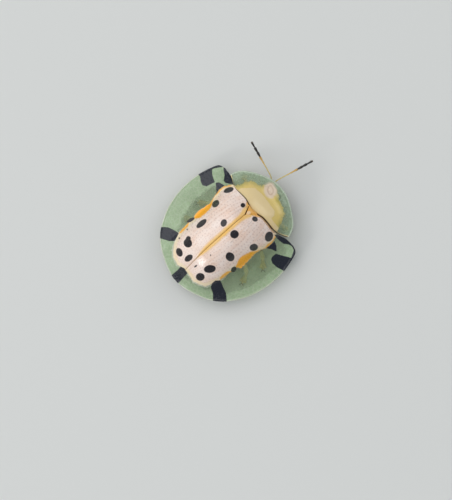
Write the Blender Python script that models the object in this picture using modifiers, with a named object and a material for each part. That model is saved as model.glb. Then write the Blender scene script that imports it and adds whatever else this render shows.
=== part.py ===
"""Sweet potato leaf beetle at life size: a round tortoise beetle with a domed, spotted back and a clear brim.

Units are metres, +Z is up and the beetle faces +Y. Shapes are worked out in a body frame whose origin lies on the
floor under the middle of the shell. The finished pieces are then moved so that the origin lies on the floor under
the middle of the whole model, feelers included.
"""

import math

import bmesh
import bpy
from mathutils import Matrix, Vector

MM = 0.001

# Space between neighbouring pieces, and the walls of the shell
GAP = 0.3 * MM
WALL = 0.5 * MM

# Heights of the shell's upper face above the floor
BRIM_EDGE_Z = 1.55 * MM
BRIM_ROOT_Z = 2.5 * MM
DOME_RISE = 3.0 * MM
REAR_EDGE_LIFT = 0.1 * MM
BRIM_CURVE = 1.4

# The wing covers' dome, from above: a blunt oval that is widest at the shoulders
DOME_CENTRE_Y = 0.9 * MM
DOME_REAR_Y = -6.0 * MM
DOME_FRONT_REACH = 6.6 * MM
DOME_HALF_WIDTH = 3.35 * MM
SHOULDER_SPREAD = 0.3 * MM
DOME_BLUNTNESS = 3.2
DOME_FULLNESS = 2.6
BASE_DROP = 0.27
BASE_DROP_START_Y = 1.2 * MM
BASE_DROP_END_Y = 3.9 * MM
SHOULDER_Y = 2.6 * MM

# Oval that carries the brim's slope on past the base, where the shield's hind corners meet the wing covers
BRIM_OVAL_CENTRE_Y = 0.5 * MM
BRIM_OVAL_HALF_WIDTH = 6.54 * MM
BRIM_OVAL_HALF_LENGTH = 6.5 * MM

# Outline of the right wing cover from above, in millimetres, from the notch at the scutellum round to the tip
NOTCH_DEPTH_Y = 2.35 * MM
NOTCH_HALF_WIDTH = 0.78 * MM
BASE_LINE = [(0.0, 3.27), (0.9, 3.52), (2.0, 3.57), (2.9, 3.63), (3.6, 3.8), (4.3, 4.05), (5.2, 4.12)]
BRIM_LINE = [
    (5.72, 3.9), (6.02, 3.4), (6.42, 1.9), (6.54, 0.5), (6.46, -0.85), (6.08, -2.45), (5.45, -3.75),
    (4.7, -4.85), (3.6, -5.8), (2.1, -6.53), (0.9, -6.9), (0.0, -7.03),
]

# Grids of the shell: rings, the share of them on the dome, how far out those may reach, and the steps round a rim
RINGS = 9
DOME_RING_SHARE = 0.62
MOST_INNER_SHARE = 0.92
LINE_STEPS = 8
COVER_BASE_STEPS = 10
COVER_EDGE_STEPS = 28
SHIELD_BASE_STEPS = 8
SHIELD_FRONT_STEPS = 12
NOTCH_SHOULDER_DROP = 0.02 * MM

# The shield over the head
SHIELD_LINE = [(4.27, 4.14), (4.12, 4.68), (3.72, 5.32), (2.95, 5.93), (2.0, 6.48), (1.0, 6.88), (0.0, 7.02)]
SHIELD_DOME_HALF_WIDTH = 3.35 * MM
SHIELD_BLUNTNESS = 2.6
SHIELD_DOME_BASE_Y = 3.2 * MM
SHIELD_DOME_LENGTH = 2.8 * MM
SHIELD_DOME_RISE = 1.75 * MM
SHIELD_RISE_POWER = 1.7
SHIELD_ROOT_Z = 2.5 * MM
SHIELD_FRONT_LIFT = 0.15 * MM
SHIELD_EDGE_DROP = 0.45 * MM
SHIELD_GRID_CENTRE_Y = 4.3 * MM
SHIELD_YAW = math.radians(1.5)

# Scutellum, the small three-sided plate between the wing covers
SCUTELLUM_HALF_WIDTH = 0.45 * MM
SCUTELLUM_FRONT_Y = 3.2 * MM
SCUTELLUM_TIP_Y = 2.72 * MM
SCUTELLUM_TOP_Z = 4.55 * MM
SCUTELLUM_CROWN = 0.08 * MM
SCUTELLUM_FLAT_SHARE = 0.7

# Trunk under the shell
BELLY_Z = 1.25 * MM
WAIST_Z = 1.68 * MM
TRUNK_HALF_WIDTH = 2.9 * MM
BACK_NARROWING = 0.83
BACK_CLEARANCE = 0.95 * MM
SECTION_STEPS = 9
SECTION_BLUNTNESS = 0.8
WAIST_Y = 0.6 * MM
TAIL_Y = -5.3 * MM
FRONT_TAPER_REACH = 5.2 * MM
TRUNK_BLUNTNESS = 2.3
TRUNK_LEAST_SHARE = 0.02
ABDOMEN_FRONT_Y = -0.05 * MM
ABDOMEN_REAR_Y = -5.15 * MM
STERNITES = 5
STERNITE_STEP = 0.07 * MM
STERNITE_PROFILE = ((0.0, 1), (0.12, 0), (0.9, 0))
ABDOMEN_RISE = 0.5 * MM
ABDOMEN_TIP_SHARE = 0.75
ABDOMEN_TIP_DROP = 0.2 * MM
ABDOMEN_TIP_LIFT = 0.65 * MM
THORAX_FRONT_Y = 3.05 * MM
THORAX_SPANS = 6
THORAX_END_LIFT = 0.12 * MM
PROTHORAX_REAR_Y = THORAX_FRONT_Y + GAP
PROTHORAX_FRONT_Y = 4.85 * MM
PROTHORAX_HALF_WIDTH = 2.6 * MM
PROTHORAX_SPANS = 5
PROTHORAX_NARROWING = 0.32
PROTHORAX_LIFT = 0.1 * MM
PROTHORAX_FRONT_LIFT = 0.25 * MM

# Head, turned to the beetle's left under the shield
HEAD_CENTRE = Vector((-0.3, 5.84, 1.3)) * MM
HEAD_YAW = math.radians(31.0)
HEAD_HALF_WIDTH = 0.7 * MM
HEAD_HALF_LENGTH = 0.6 * MM
HEAD_HALF_HEIGHT = 0.66 * MM
LIP_CENTRE = Vector((0.0, 0.372, -0.363)) * MM
LIP_RADII = (0.42 * MM, 0.3 * MM, 0.34 * MM)
PALP_ROOT = Vector((0.294, 0.3, -0.4092)) * MM
PALP_REACH = Vector((0.22, 0.36, -0.25)) * MM
PALP_RADII = (0.25 * MM, 0.25 * MM, 0.16 * MM)
EYE_CENTRE_Y = 0.02 * MM
EYE_CENTRE_Z = 0.12 * MM
EYE_HALF_LENGTH = 0.36 * MM
EYE_HALF_HEIGHT = 0.46 * MM
EYE_BULGE = 0.28 * MM

# Feelers: eleven joints each, thicker towards the dark club
FEELER_ROOT_SPREAD = 0.3 * MM
FEELER_ROOT_Z = 1.5 * MM
FEELER_RIM_Z = 1.35 * MM
FEELER_TIP_Z = 2.3 * MM
FEELER_JOINTS = 11
FEELER_RINGS_PER_JOINT = 3
FEELER_SIDES = 8
FEELER_RADIUS = 0.25 * MM
FEELER_WAIST_SHARE = 0.88
FEELER_POINT_START = 0.92
FEELER_POINT_TAPER = 0.8
CLUB_RADIUS = 0.29 * MM
CLUB_SWELL_START = 0.5
CLUB_SWELL_END = 0.67

# Each feeler's bend, middle and tip from above, in millimetres, by side
FEELER_KNOTS = {1: ((-0.86, 7.05), (-0.38, 9.1), (0.11, 11.15)), -1: ((-1.4, 6.99), (-3.34, 7.43), (-5.34, 7.83))}

# Legs: hip, knee, ankle and toe from above, in millimetres. The two sides stand a little differently
LEG_PLACES = {
    "front_left": ((-0.8, 4.2), (-2.15, 4.62), (-2.85, 4.88), (-3.42, 5.02)),
    "front_right": ((0.8, 4.2), (2.2, 4.5), (2.95, 4.68), (3.55, 4.78)),
    "middle_left": ((-1.1, 2.15), (-3.0, 1.2), (-3.8, 0.55), (-4.35, -0.1)),
    "middle_right": ((1.1, 2.15), (3.15, 1.55), (4.1, 1.0), (4.78, 0.42)),
    "hind_left": ((-1.15, 0.6), (-2.85, -0.85), (-3.6, -1.55), (-4.15, -2.25)),
    "hind_right": ((1.15, 0.6), (3.1, -0.5), (4.1, -1.2), (4.5, -2.02)),
}
HIP_Z = 0.62 * MM
KNEE_Z = 1.3 * MM
ANKLE_Z = 0.42 * MM
HIP_RADII = (0.4125 * MM, 0.363 * MM, 0.33 * MM)
THIGH_RADIUS = 0.35 * MM
THIGH_SHARES = (0.75, 0.95, 1.0, 0.95, 0.75)
SHIN_RADIUS = 0.26 * MM
SHIN_SHARES = (0.97, 0.97, 1.0, 1.08, 1.12)
KNEE_RADIUS = 0.286 * MM
ANKLE_RADIUS = 0.299 * MM
TOE_LOBE_OVERLAP = 1.5
TOE_LOBE_HALF_WIDTHS = (0.25 * MM, 0.31 * MM, 0.36 * MM)
TOE_LOBE_HALF_HEIGHT = 0.25 * MM
TOE_SINK = 0.05 * MM
CLAW_RADIUS = 0.13 * MM
CLAW_LENGTH = 0.42 * MM
CLAW_SPREAD = math.radians(32.0)
CLAW_ROOT_SHARE = 0.6
CLAW_POINT_SHARE = 0.4
CLAW_POINT_Z = 0.078 * MM

SHELL_COLOUR = (0.79, 0.68, 0.55, 1.0)
SHIELD_COLOUR = (0.72, 0.55, 0.24, 1.0)
SKIN_COLOUR = (0.68, 0.47, 0.18, 1.0)
EYE_COLOUR = (0.02, 0.017, 0.015, 1.0)
FEELER_COLOUR = (0.6, 0.42, 0.12, 1.0)


def clear_scene():
    """Removes whatever the scene starts with."""
    for obj in list(bpy.data.objects):
        bpy.data.objects.remove(obj, do_unlink=True)


def make_collection(name, shown=True):
    """A collection linked to the scene. Cutters and joined pieces go in one that isn't shown."""
    collection = bpy.data.collections.new(name)
    collection.hide_render = not shown
    bpy.context.scene.collection.children.link(collection)
    return collection


def make_material(name, colour, roughness):
    """A plain Principled finish."""
    made = bpy.data.materials.new(name)
    made.use_nodes = True
    shader = made.node_tree.nodes["Principled BSDF"]
    shader.inputs["Base Color"].default_value = colour
    shader.inputs["Roughness"].default_value = roughness
    shader.inputs["Metallic"].default_value = 0.0
    return made


def object_from(bm, name, collection, finish=None):
    """Turns a bmesh into a smooth-shaded object in a collection."""
    bmesh.ops.recalc_face_normals(bm, faces=bm.faces)
    mesh = bpy.data.meshes.new(name)
    bm.to_mesh(mesh)
    bm.free()
    mesh.shade_smooth()
    obj = bpy.data.objects.new(name, mesh)
    if finish:
        mesh.materials.append(finish)
    collection.objects.link(obj)
    return obj


def smooth_line(points, steps):
    """Points on a Catmull-Rom curve through the given ones, which it also ends on."""
    points = [Vector(p) for p in points]
    ends = [2 * points[0] - points[1], *points, 2 * points[-1] - points[-2]]
    line = []
    for i in range(1, len(ends) - 2):
        before, start, end, after = ends[i - 1 : i + 3]
        for step in range(steps):
            t = step / steps
            line.append(
                0.5
                * (
                    2 * start
                    + (end - before) * t
                    + (2 * before - 5 * start + 4 * end - after) * t**2
                    + (3 * start - before - 3 * end + after) * t**3
                )
            )
    return [*line, points[-1]]


def evenly(line, count):
    """count + 1 points the same distance apart along a line."""
    lengths = [(b - a).length for a, b in zip(line, line[1:])]
    total, made, index, walked = sum(lengths), [line[0]], 0, 0.0
    for k in range(1, count):
        wanted = total * k / count
        while walked + lengths[index] < wanted:
            walked += lengths[index]
            index += 1
        share = (wanted - walked) / lengths[index]
        made.append(line[index].lerp(line[index + 1], share))
    return [*made, line[-1]]


def smoothstep(low, high, value):
    """0 below low, 1 above high, and a smooth rise between."""
    t = min(max((value - low) / (high - low), 0.0), 1.0)
    return t * t * (3 - 2 * t)


def dome_radius(x, y):
    """How far out a point is on the wing covers' dome: 0 at its middle and 1 at its foot."""
    half_width = DOME_HALF_WIDTH + SHOULDER_SPREAD * smoothstep(0, SHOULDER_Y, y)
    reach = DOME_FRONT_REACH if y > DOME_CENTRE_Y else DOME_CENTRE_Y - DOME_REAR_Y
    across = (abs(x) / half_width) ** DOME_BLUNTNESS
    along = (abs(y - DOME_CENTRE_Y) / reach) ** DOME_BLUNTNESS
    return (across + along) ** (1 / DOME_BLUNTNESS)


def dome_height(x, y):
    """Rise of the dome above its foot, 0 outside it. It falls towards the base, where the shield carries on."""
    fall = 1 - BASE_DROP * smoothstep(BASE_DROP_START_Y, BASE_DROP_END_Y, y)
    return DOME_RISE * fall * max(1 - dome_radius(x, y) ** DOME_FULLNESS, 0)


def brim_drop(share):
    """Fall of a brim from its root, 0, to its edge, 1: steep beside the dome and level at the rim."""
    return 1 - (1 - share) ** BRIM_CURVE


def foot_share(centre, rim, radius_at):
    """How far along the line from centre to rim the dome's foot lies, or 1 where the dome goes past the rim."""
    if radius_at(rim.x, rim.y) <= 1:
        return 1.0
    low, high = 0.0, 1.0
    for _ in range(30):
        middle = (low + high) / 2
        point = centre.lerp(rim, middle)
        if radius_at(point.x, point.y) > 1:
            high = middle
        else:
            low = middle
    return low


def brim_oval_share(centre, rim):
    """How far along the line from centre to rim the brim's oval lies, at least 1: more where the base cuts the brim."""
    start_x, start_y = centre.x / BRIM_OVAL_HALF_WIDTH, (centre.y - BRIM_OVAL_CENTRE_Y) / BRIM_OVAL_HALF_LENGTH
    step_x, step_y = (rim.x - centre.x) / BRIM_OVAL_HALF_WIDTH, (rim.y - centre.y) / BRIM_OVAL_HALF_LENGTH
    a = step_x**2 + step_y**2
    b = start_x * step_x + start_y * step_y
    c = start_x**2 + start_y**2 - 1
    return max((math.sqrt(b * b - a * c) - b) / a, 1.0)


def wing_cover_height(point, share, foot, reach):
    """Height of a wing cover's upper face. share, foot and reach are places on the line out from the grid's centre:
    the point itself, the dome's foot and the brim's own edge."""
    rear = smoothstep(0, DOME_REAR_Y, point.y)
    edge = BRIM_EDGE_Z + REAR_EDGE_LIFT * rear
    out = min(max(share - foot, 0) / max(reach - foot, 1e-6), 1)
    return BRIM_ROOT_Z - (BRIM_ROOT_Z - edge) * brim_drop(out) + dome_height(point.x, point.y)


def shield_radius(x, y):
    """How far out a point is on the shield's dome, measured as dome_radius measures."""
    across = (abs(x) / SHIELD_DOME_HALF_WIDTH) ** SHIELD_BLUNTNESS
    along = (max(y - SHIELD_DOME_BASE_Y, 0) / SHIELD_DOME_LENGTH) ** SHIELD_BLUNTNESS
    return (across + along) ** (1 / SHIELD_BLUNTNESS)


def shield_height(point, share, foot, reach):
    """Height of the shield's upper face, with its places on the line as for the wing covers."""
    forward = smoothstep(SHIELD_DOME_BASE_Y, SHIELD_DOME_BASE_Y + SHIELD_DOME_LENGTH, point.y)
    root = SHIELD_ROOT_Z + SHIELD_FRONT_LIFT * forward
    out = min(max(share - foot, 0) / max(reach - foot, 1e-6), 1)
    along = max(point.y - SHIELD_DOME_BASE_Y, 0) / SHIELD_DOME_LENGTH
    rise = SHIELD_DOME_RISE * max(1 - min(along, 1) ** SHIELD_RISE_POWER, 0)
    across = max(1 - shield_radius(point.x, point.y) ** DOME_FULLNESS, 0)
    return root - SHIELD_EDGE_DROP * brim_drop(out) + rise * across


def fan_grid(centre, rim, reaches, radius_at, height_at, closed):
    """An open surface of lines that run from a centre to the points of a rim, with rings gathered at the dome's foot.
    reaches holds, for each line, where the brim's own edge lies."""
    bm = bmesh.new()
    inner_rings = round(RINGS * DOME_RING_SHARE)
    hub = bm.verts.new((centre.x, centre.y, height_at(centre, 0.0, 1.0, 1.0)))
    lines = []
    for point, reach in zip(rim, reaches):
        foot = foot_share(centre, point, radius_at)
        turn = min(foot, MOST_INNER_SHARE)
        line = [hub]
        for ring in range(1, RINGS + 1):
            if ring <= inner_rings:
                share = turn * ring / inner_rings
            else:
                share = turn + (1 - turn) * (ring - inner_rings) / (RINGS - inner_rings)
            place = centre.lerp(point, share)
            line.append(bm.verts.new((place.x, place.y, height_at(place, share, foot, reach))))
        lines.append(line)
    pairs = list(zip(lines, lines[1:] + lines[:1])) if closed else list(zip(lines, lines[1:]))
    for first, second in pairs:
        bm.faces.new((hub, first[1], second[1]))
        for ring in range(1, RINGS):
            bm.faces.new((first[ring], first[ring + 1], second[ring + 1], second[ring]))
    for face in bm.faces:
        face.normal_update()
        if face.normal.z < 0:
            face.normal_flip()
    return bm


def shell_from(bm, name, collection, finish):
    """A wall of even thickness below an upper face. The grid's faces already point up, so they aren't turned."""
    mesh = bpy.data.meshes.new(name)
    bm.to_mesh(mesh)
    bm.free()
    mesh.shade_smooth()
    mesh.materials.append(finish)
    obj = bpy.data.objects.new(name, mesh)
    collection.objects.link(obj)
    wall = obj.modifiers.new("wall", "SOLIDIFY")
    wall.thickness = WALL
    wall.offset = -1.0
    wall.use_even_offset = True
    wall.use_quality_normals = True
    return obj


def build_wing_cover(name, side, collection, finish):
    """One wing cover: half of the dome with its brim, notched for the scutellum. side is 1 for right, -1 for left."""
    inner = GAP / 2
    base = [Vector(p) * MM - Vector((0, GAP / 2)) for p in BASE_LINE]
    notch = [Vector((inner, NOTCH_DEPTH_Y)), Vector((NOTCH_HALF_WIDTH, base[1].y - NOTCH_SHOULDER_DROP))]
    rim = evenly(smooth_line([notch[1], *base[2:]], LINE_STEPS), COVER_BASE_STEPS)
    edge = evenly(smooth_line([base[-1], *[Vector(p) * MM for p in BRIM_LINE]], LINE_STEPS), COVER_EDGE_STEPS)
    rim = [notch[0], notch[0].lerp(notch[1], 0.5), *rim, *edge[1:-1], Vector((inner, edge[-1].y))]
    centre = Vector((inner, DOME_CENTRE_Y))
    rim = [Vector((max(point.x, inner), point.y)) for point in rim]
    reaches = [brim_oval_share(centre, point) for point in rim]
    bm = fan_grid(centre, rim, reaches, dome_radius, wing_cover_height, closed=False)
    if side < 0:
        bmesh.ops.transform(bm, matrix=Matrix.Scale(-1, 4, (1, 0, 0)), verts=bm.verts)
        bmesh.ops.reverse_faces(bm, faces=bm.faces)
    return shell_from(bm, name, collection, finish)


def build_shield(name, collection, finish):
    """The shield over the head, one piece from side to side, set just in front of the wing covers."""
    base = [Vector(p) * MM + Vector((0, GAP / 2)) for p in BASE_LINE[:5]]
    front = [Vector(p) * MM + Vector((0, GAP / 2 if i == 0 else 0)) for i, p in enumerate(SHIELD_LINE)]
    right = evenly(smooth_line([*base, front[0]], LINE_STEPS), SHIELD_BASE_STEPS)
    right += evenly(smooth_line(front, LINE_STEPS), SHIELD_FRONT_STEPS)[1:]
    left = [Vector((-p.x, p.y)) for p in reversed(right[1:-1])]
    centre = Vector((0, SHIELD_GRID_CENTRE_Y))
    rim = right + left
    bm = fan_grid(centre, rim, [1.0] * len(rim), shield_radius, shield_height, closed=True)
    turn = Matrix.Rotation(SHIELD_YAW, 4, "Z")
    pivot = Matrix.Translation((0, SHIELD_DOME_BASE_Y, 0))
    bmesh.ops.transform(bm, matrix=pivot @ turn @ pivot.inverted(), verts=bm.verts)
    return shell_from(bm, name, collection, finish)


def loft(rings):
    """A closed skin over rings of points, which all hold the same number, with both ends capped."""
    bm = bmesh.new()
    rows = [[bm.verts.new(point) for point in ring] for ring in rings]
    count = len(rows[0])
    for first, second in zip(rows, rows[1:]):
        for i in range(count):
            j = (i + 1) % count
            bm.faces.new((first[i], first[j], second[j], second[i]))
    bm.faces.new(list(reversed(rows[0])))
    bm.faces.new(rows[-1])
    bmesh.ops.triangulate(bm, faces=[face for face in bm.faces if len(face.verts) > 4])
    return bm


def trunk_ring(y, half_width, top_z, belly_z):
    """A section of the trunk across the body: a flat belly up to a ledge at the waist, and a narrower back above it."""
    halves = ((math.pi, 2 * math.pi, 1.0, WAIST_Z - belly_z), (0.0, math.pi, BACK_NARROWING, top_z - WAIST_Z))
    ring = []
    for start, end, share, height in halves:
        for step in range(SECTION_STEPS + 1):
            angle = start + (end - start) * step / SECTION_STEPS
            across, up = math.cos(angle), math.sin(angle)
            x = half_width * share * math.copysign(abs(across) ** SECTION_BLUNTNESS, across)
            ring.append((x, y, WAIST_Z + height * math.copysign(abs(up) ** SECTION_BLUNTNESS, up)))
    return ring


def trunk_half_width(y):
    """Half the trunk's width at a place along the body: widest at the waist, rounded off towards the tail."""
    reach = WAIST_Y - TAIL_Y if y < WAIST_Y else FRONT_TAPER_REACH
    along = min(abs(y - WAIST_Y) / reach, 1)
    return TRUNK_HALF_WIDTH * max(1 - along**TRUNK_BLUNTNESS, TRUNK_LEAST_SHARE) ** (1 / TRUNK_BLUNTNESS)


def trunk_top(y):
    """Height of the trunk's back, held clear of the dome's inner face."""
    return BRIM_ROOT_Z + dome_height(0, y) - BACK_CLEARANCE


def build_abdomen(name, collection, finish):
    """The hind body, with the belly stepped at each of its plates."""
    length = ABDOMEN_FRONT_Y - ABDOMEN_REAR_Y
    rings = []
    for plate in range(STERNITES):
        for share, step in STERNITE_PROFILE:
            y = ABDOMEN_FRONT_Y - length * (plate + share) / STERNITES
            rise = ABDOMEN_RISE * ((ABDOMEN_FRONT_Y - y) / length) ** 2
            belly = BELLY_Z + rise + step * STERNITE_STEP
            rings.append(trunk_ring(y, trunk_half_width(y), trunk_top(y), belly))
    half_width = trunk_half_width(ABDOMEN_REAR_Y) * ABDOMEN_TIP_SHARE
    top = trunk_top(ABDOMEN_REAR_Y) - ABDOMEN_TIP_DROP
    rings.append(trunk_ring(ABDOMEN_REAR_Y, half_width, top, BELLY_Z + ABDOMEN_TIP_LIFT))
    return object_from(loft(rings), name, collection, finish)


def build_thorax(name, collection, finish):
    """The middle body that carries the middle and hind legs."""
    rear_y, front_y = ABDOMEN_FRONT_Y + GAP, THORAX_FRONT_Y
    rings = []
    for step in range(THORAX_SPANS + 1):
        y = rear_y + (front_y - rear_y) * step / THORAX_SPANS
        belly = BELLY_Z + (THORAX_END_LIFT if step in (0, THORAX_SPANS) else 0)
        rings.append(trunk_ring(y, trunk_half_width(y), trunk_top(y), belly))
    return object_from(loft(rings), name, collection, finish)


def build_prothorax(name, collection, finish):
    """The fore body under the shield, which carries the front legs and the head."""
    rings = []
    for step in range(PROTHORAX_SPANS + 1):
        ahead = step / PROTHORAX_SPANS
        y = PROTHORAX_REAR_Y + (PROTHORAX_FRONT_Y - PROTHORAX_REAR_Y) * ahead
        narrowing = 1 - PROTHORAX_NARROWING * ahead**2
        along = max(y - SHIELD_DOME_BASE_Y, 0) / SHIELD_DOME_LENGTH
        top = SHIELD_ROOT_Z + SHIELD_DOME_RISE * (1 - along**SHIELD_RISE_POWER)
        belly = BELLY_Z + PROTHORAX_LIFT + PROTHORAX_FRONT_LIFT * ahead**2
        rings.append(trunk_ring(y, PROTHORAX_HALF_WIDTH * narrowing, top - BACK_CLEARANCE, belly))
    return object_from(loft(rings), name, collection, finish)


def build_scutellum(name, collection, finish):
    """The small plate between the roots of the wing covers, on a peg that reaches down towards the trunk."""
    corners = [
        Vector((-SCUTELLUM_HALF_WIDTH, SCUTELLUM_FRONT_Y)),
        Vector((SCUTELLUM_HALF_WIDTH, SCUTELLUM_FRONT_Y)),
        Vector((0.0, SCUTELLUM_TIP_Y)),
    ]
    middle = (corners[0] + corners[1] + corners[2]) / 3
    bottom_z = trunk_top(SCUTELLUM_TIP_Y) + GAP
    levels = ((1.0, bottom_z), (1.0, SCUTELLUM_TOP_Z - SCUTELLUM_CROWN), (SCUTELLUM_FLAT_SHARE, SCUTELLUM_TOP_Z))
    rings = [[(*middle.lerp(corner, share), z) for corner in corners] for share, z in levels]
    return object_from(loft(rings), name, collection, finish)


def circle_at(middle, across, up, radius, sides):
    """Points round a middle, in the plane of the directions across and up."""
    turns = [2 * math.pi * k / sides for k in range(sides)]
    return [middle + across * (radius * math.cos(a)) + up * (radius * math.sin(a)) for a in turns]


def spindle(start, end, radii, sides=8):
    """A round bar whose radius follows a list along its length."""
    start, end = Vector(start), Vector(end)
    axis = (end - start).normalized()
    across = axis.cross(Vector((0, 0, 1)))
    across = across.normalized() if across.length > 1e-4 else Vector((1, 0, 0))
    up = across.cross(axis)
    last = len(radii) - 1
    return loft([circle_at(start.lerp(end, i / last), across, up, radius, sides) for i, radius in enumerate(radii)])


def ball(centre, radii, turn=0.0, segments=12, rings=8):
    """An egg-shaped piece, turned about the vertical."""
    bm = bmesh.new()
    bmesh.ops.create_uvsphere(bm, u_segments=segments, v_segments=rings, radius=1.0)
    scale = Matrix.Diagonal((*radii, 1.0))
    place = Matrix.Translation(centre) @ Matrix.Rotation(turn, 4, "Z") @ scale
    bmesh.ops.transform(bm, matrix=place, verts=bm.verts)
    return bm


def linked_faces(start):
    """The faces that one face reaches over shared edges."""
    found, waiting = {start}, [start]
    while waiting:
        face = waiting.pop()
        for edge in face.edges:
            for other in edge.link_faces:
                if other not in found:
                    found.add(other)
                    waiting.append(other)
    return found


def volume_of(faces):
    """The space inside a closed surface of triangles and other flat faces."""
    total = 0.0
    for face in faces:
        first, *rest = [corner.co for corner in face.verts]
        total += sum(first.dot(second.cross(third)) for second, third in zip(rest, rest[1:])) / 6
    return abs(total)


def keep_largest(bm):
    """Removes every closed surface but the largest, so that a union or a cut leaves no crumb."""
    left, surfaces = set(bm.faces), []
    while left:
        surfaces.append(linked_faces(next(iter(left))))
        left -= surfaces[-1]
    largest = max(surfaces, key=volume_of)
    crumbs = [face for face in bm.faces if face not in largest]
    bmesh.ops.delete(bm, geom=crumbs, context="FACES")
    loose = [corner for corner in bm.verts if not corner.link_faces]
    bmesh.ops.delete(bm, geom=loose, context="VERTS")


def fused(name, pieces, collection, joined, finish):
    """One closed body from overlapping pieces, by a Boolean union of the first with a collection of the rest."""
    first, *others = [object_from(bm, f"{name}_piece_{i}", joined) for i, bm in enumerate(pieces)]
    union = bpy.data.collections.new(f"{name}_union")
    for other in others:
        union.objects.link(other)
    modifier = first.modifiers.new("union", "BOOLEAN")
    modifier.operation = "UNION"
    modifier.operand_type = "COLLECTION"
    modifier.collection = union
    modifier.solver = "MANIFOLD"
    graph = bpy.context.evaluated_depsgraph_get()
    mesh = bpy.data.meshes.new_from_object(first.evaluated_get(graph))
    for piece in (first, *others):
        bpy.data.objects.remove(piece, do_unlink=True)
    bpy.data.collections.remove(union)
    bm = bmesh.new()
    bm.from_mesh(mesh)
    keep_largest(bm)
    bm.to_mesh(mesh)
    bm.free()
    mesh.name = name
    mesh.materials.clear()
    mesh.materials.append(finish)
    obj = bpy.data.objects.new(name, mesh)
    collection.objects.link(obj)
    return obj


def cut_flat(obj, level):
    """Slices off whatever reaches below a level and closes the cut, which leaves small flats at that level."""
    bm = bmesh.new()
    bm.from_mesh(obj.data)
    geometry = bm.verts[:] + bm.edges[:] + bm.faces[:]
    cut = bmesh.ops.bisect_plane(
        bm, geom=geometry, dist=1e-8, plane_co=(0, 0, level), plane_no=(0, 0, -1), clear_outer=True
    )
    edges = [part for part in cut["geom_cut"] if isinstance(part, bmesh.types.BMEdge)]
    bmesh.ops.holes_fill(bm, edges=edges, sides=0)
    bmesh.ops.triangulate(bm, faces=[face for face in bm.faces if len(face.verts) > 4])
    keep_largest(bm)
    bmesh.ops.recalc_face_normals(bm, faces=bm.faces)
    bm.to_mesh(obj.data)
    bm.free()
    obj.data.shade_smooth()


def toe_pieces(ankle, toe):
    """The foot: three flat lobes that widen outwards and overlap, then two spread claws."""
    forward = Vector((toe.x - ankle.x, toe.y - ankle.y, 0))
    length = forward.length
    heading = math.atan2(forward.y, forward.x)
    height = TOE_LOBE_HALF_HEIGHT - TOE_SINK
    count = len(TOE_LOBE_HALF_WIDTHS)
    pieces = []
    for lobe, width in enumerate(TOE_LOBE_HALF_WIDTHS):
        centre = Vector((ankle.x, ankle.y, height)) + forward * ((lobe + 0.5) / count)
        radii = (length * TOE_LOBE_OVERLAP / 2 / count, width, TOE_LOBE_HALF_HEIGHT)
        pieces.append(ball(centre, radii, heading, 10, 6))
    for way in (-1, 1):
        direction = Matrix.Rotation(way * CLAW_SPREAD, 3, "Z") @ forward.normalized()
        root = Vector((toe.x, toe.y, height)) - direction * (CLAW_LENGTH * CLAW_ROOT_SHARE)
        point = Vector((toe.x, toe.y, CLAW_POINT_Z)) + direction * CLAW_LENGTH
        pieces.append(spindle(root, point, [CLAW_RADIUS, CLAW_RADIUS, CLAW_RADIUS * CLAW_POINT_SHARE], sides=6))
    return pieces


def build_leg(name, places, collection, joined, finish):
    """One leg, standing on the flats cut under its toe lobes: hip, thigh, shin and foot."""
    hip, knee, ankle, toe = [Vector((x, y, 0)) * MM for x, y in places]
    hip.z, knee.z, ankle.z = HIP_Z, KNEE_Z, ANKLE_Z
    pieces = [
        ball(hip, HIP_RADII),
        spindle(hip, knee, [THIGH_RADIUS * share for share in THIGH_SHARES]),
        ball(knee, (KNEE_RADIUS,) * 3, segments=10, rings=6),
        spindle(knee, ankle, [SHIN_RADIUS * share for share in SHIN_SHARES]),
        ball(ankle, (ANKLE_RADIUS,) * 3, segments=10, rings=6),
        *toe_pieces(ankle, toe),
    ]
    leg = fused(name, pieces, collection, joined, finish)
    cut_flat(leg, 0.0)
    return leg


def head_frame():
    """Turns the head's own axes (right, forward, up) to the body's."""
    return Matrix.Translation(HEAD_CENTRE) @ Matrix.Rotation(HEAD_YAW, 4, "Z")


def build_head(name, collection, joined, finish):
    """The head: a rounded capsule that faces forwards and down, with its lip and two short mouth feelers."""
    frame = head_frame()
    radii = (HEAD_HALF_WIDTH, HEAD_HALF_LENGTH, HEAD_HALF_HEIGHT)
    pieces = [ball((0, 0, 0), radii, segments=16, rings=12)]
    pieces.append(ball(LIP_CENTRE, LIP_RADII))
    for way in (-1, 1):
        mirror = Matrix.Diagonal((way, 1.0, 1.0))
        root = mirror @ PALP_ROOT
        pieces.append(spindle(root, root + mirror @ PALP_REACH, PALP_RADII, sides=6))
    for bm in pieces:
        bmesh.ops.transform(bm, matrix=frame, verts=bm.verts)
    return fused(name, pieces, collection, joined, finish)


def build_eye(name, side, collection, finish):
    """A compound eye at the side of the head: a lens that bulges outwards from a flat face beside the head."""
    bm = bmesh.new()
    bmesh.ops.create_uvsphere(bm, u_segments=14, v_segments=10, radius=1.0)
    geometry = bm.verts[:] + bm.edges[:] + bm.faces[:]
    cut = bmesh.ops.bisect_plane(
        bm, geom=geometry, dist=1e-6, plane_co=(0, 0, 0), plane_no=(-side, 0, 0), clear_outer=True
    )
    edges = [part for part in cut["geom_cut"] if isinstance(part, bmesh.types.BMEdge)]
    bmesh.ops.holes_fill(bm, edges=edges, sides=0)
    bmesh.ops.triangulate(bm, faces=[face for face in bm.faces if len(face.verts) > 4])
    scale = Matrix.Diagonal((EYE_BULGE, EYE_HALF_LENGTH, EYE_HALF_HEIGHT, 1.0))
    place = Matrix.Translation((side * (HEAD_HALF_WIDTH + GAP), EYE_CENTRE_Y, EYE_CENTRE_Z))
    bmesh.ops.transform(bm, matrix=head_frame() @ place @ scale, verts=bm.verts)
    return object_from(bm, name, collection, finish)


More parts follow.
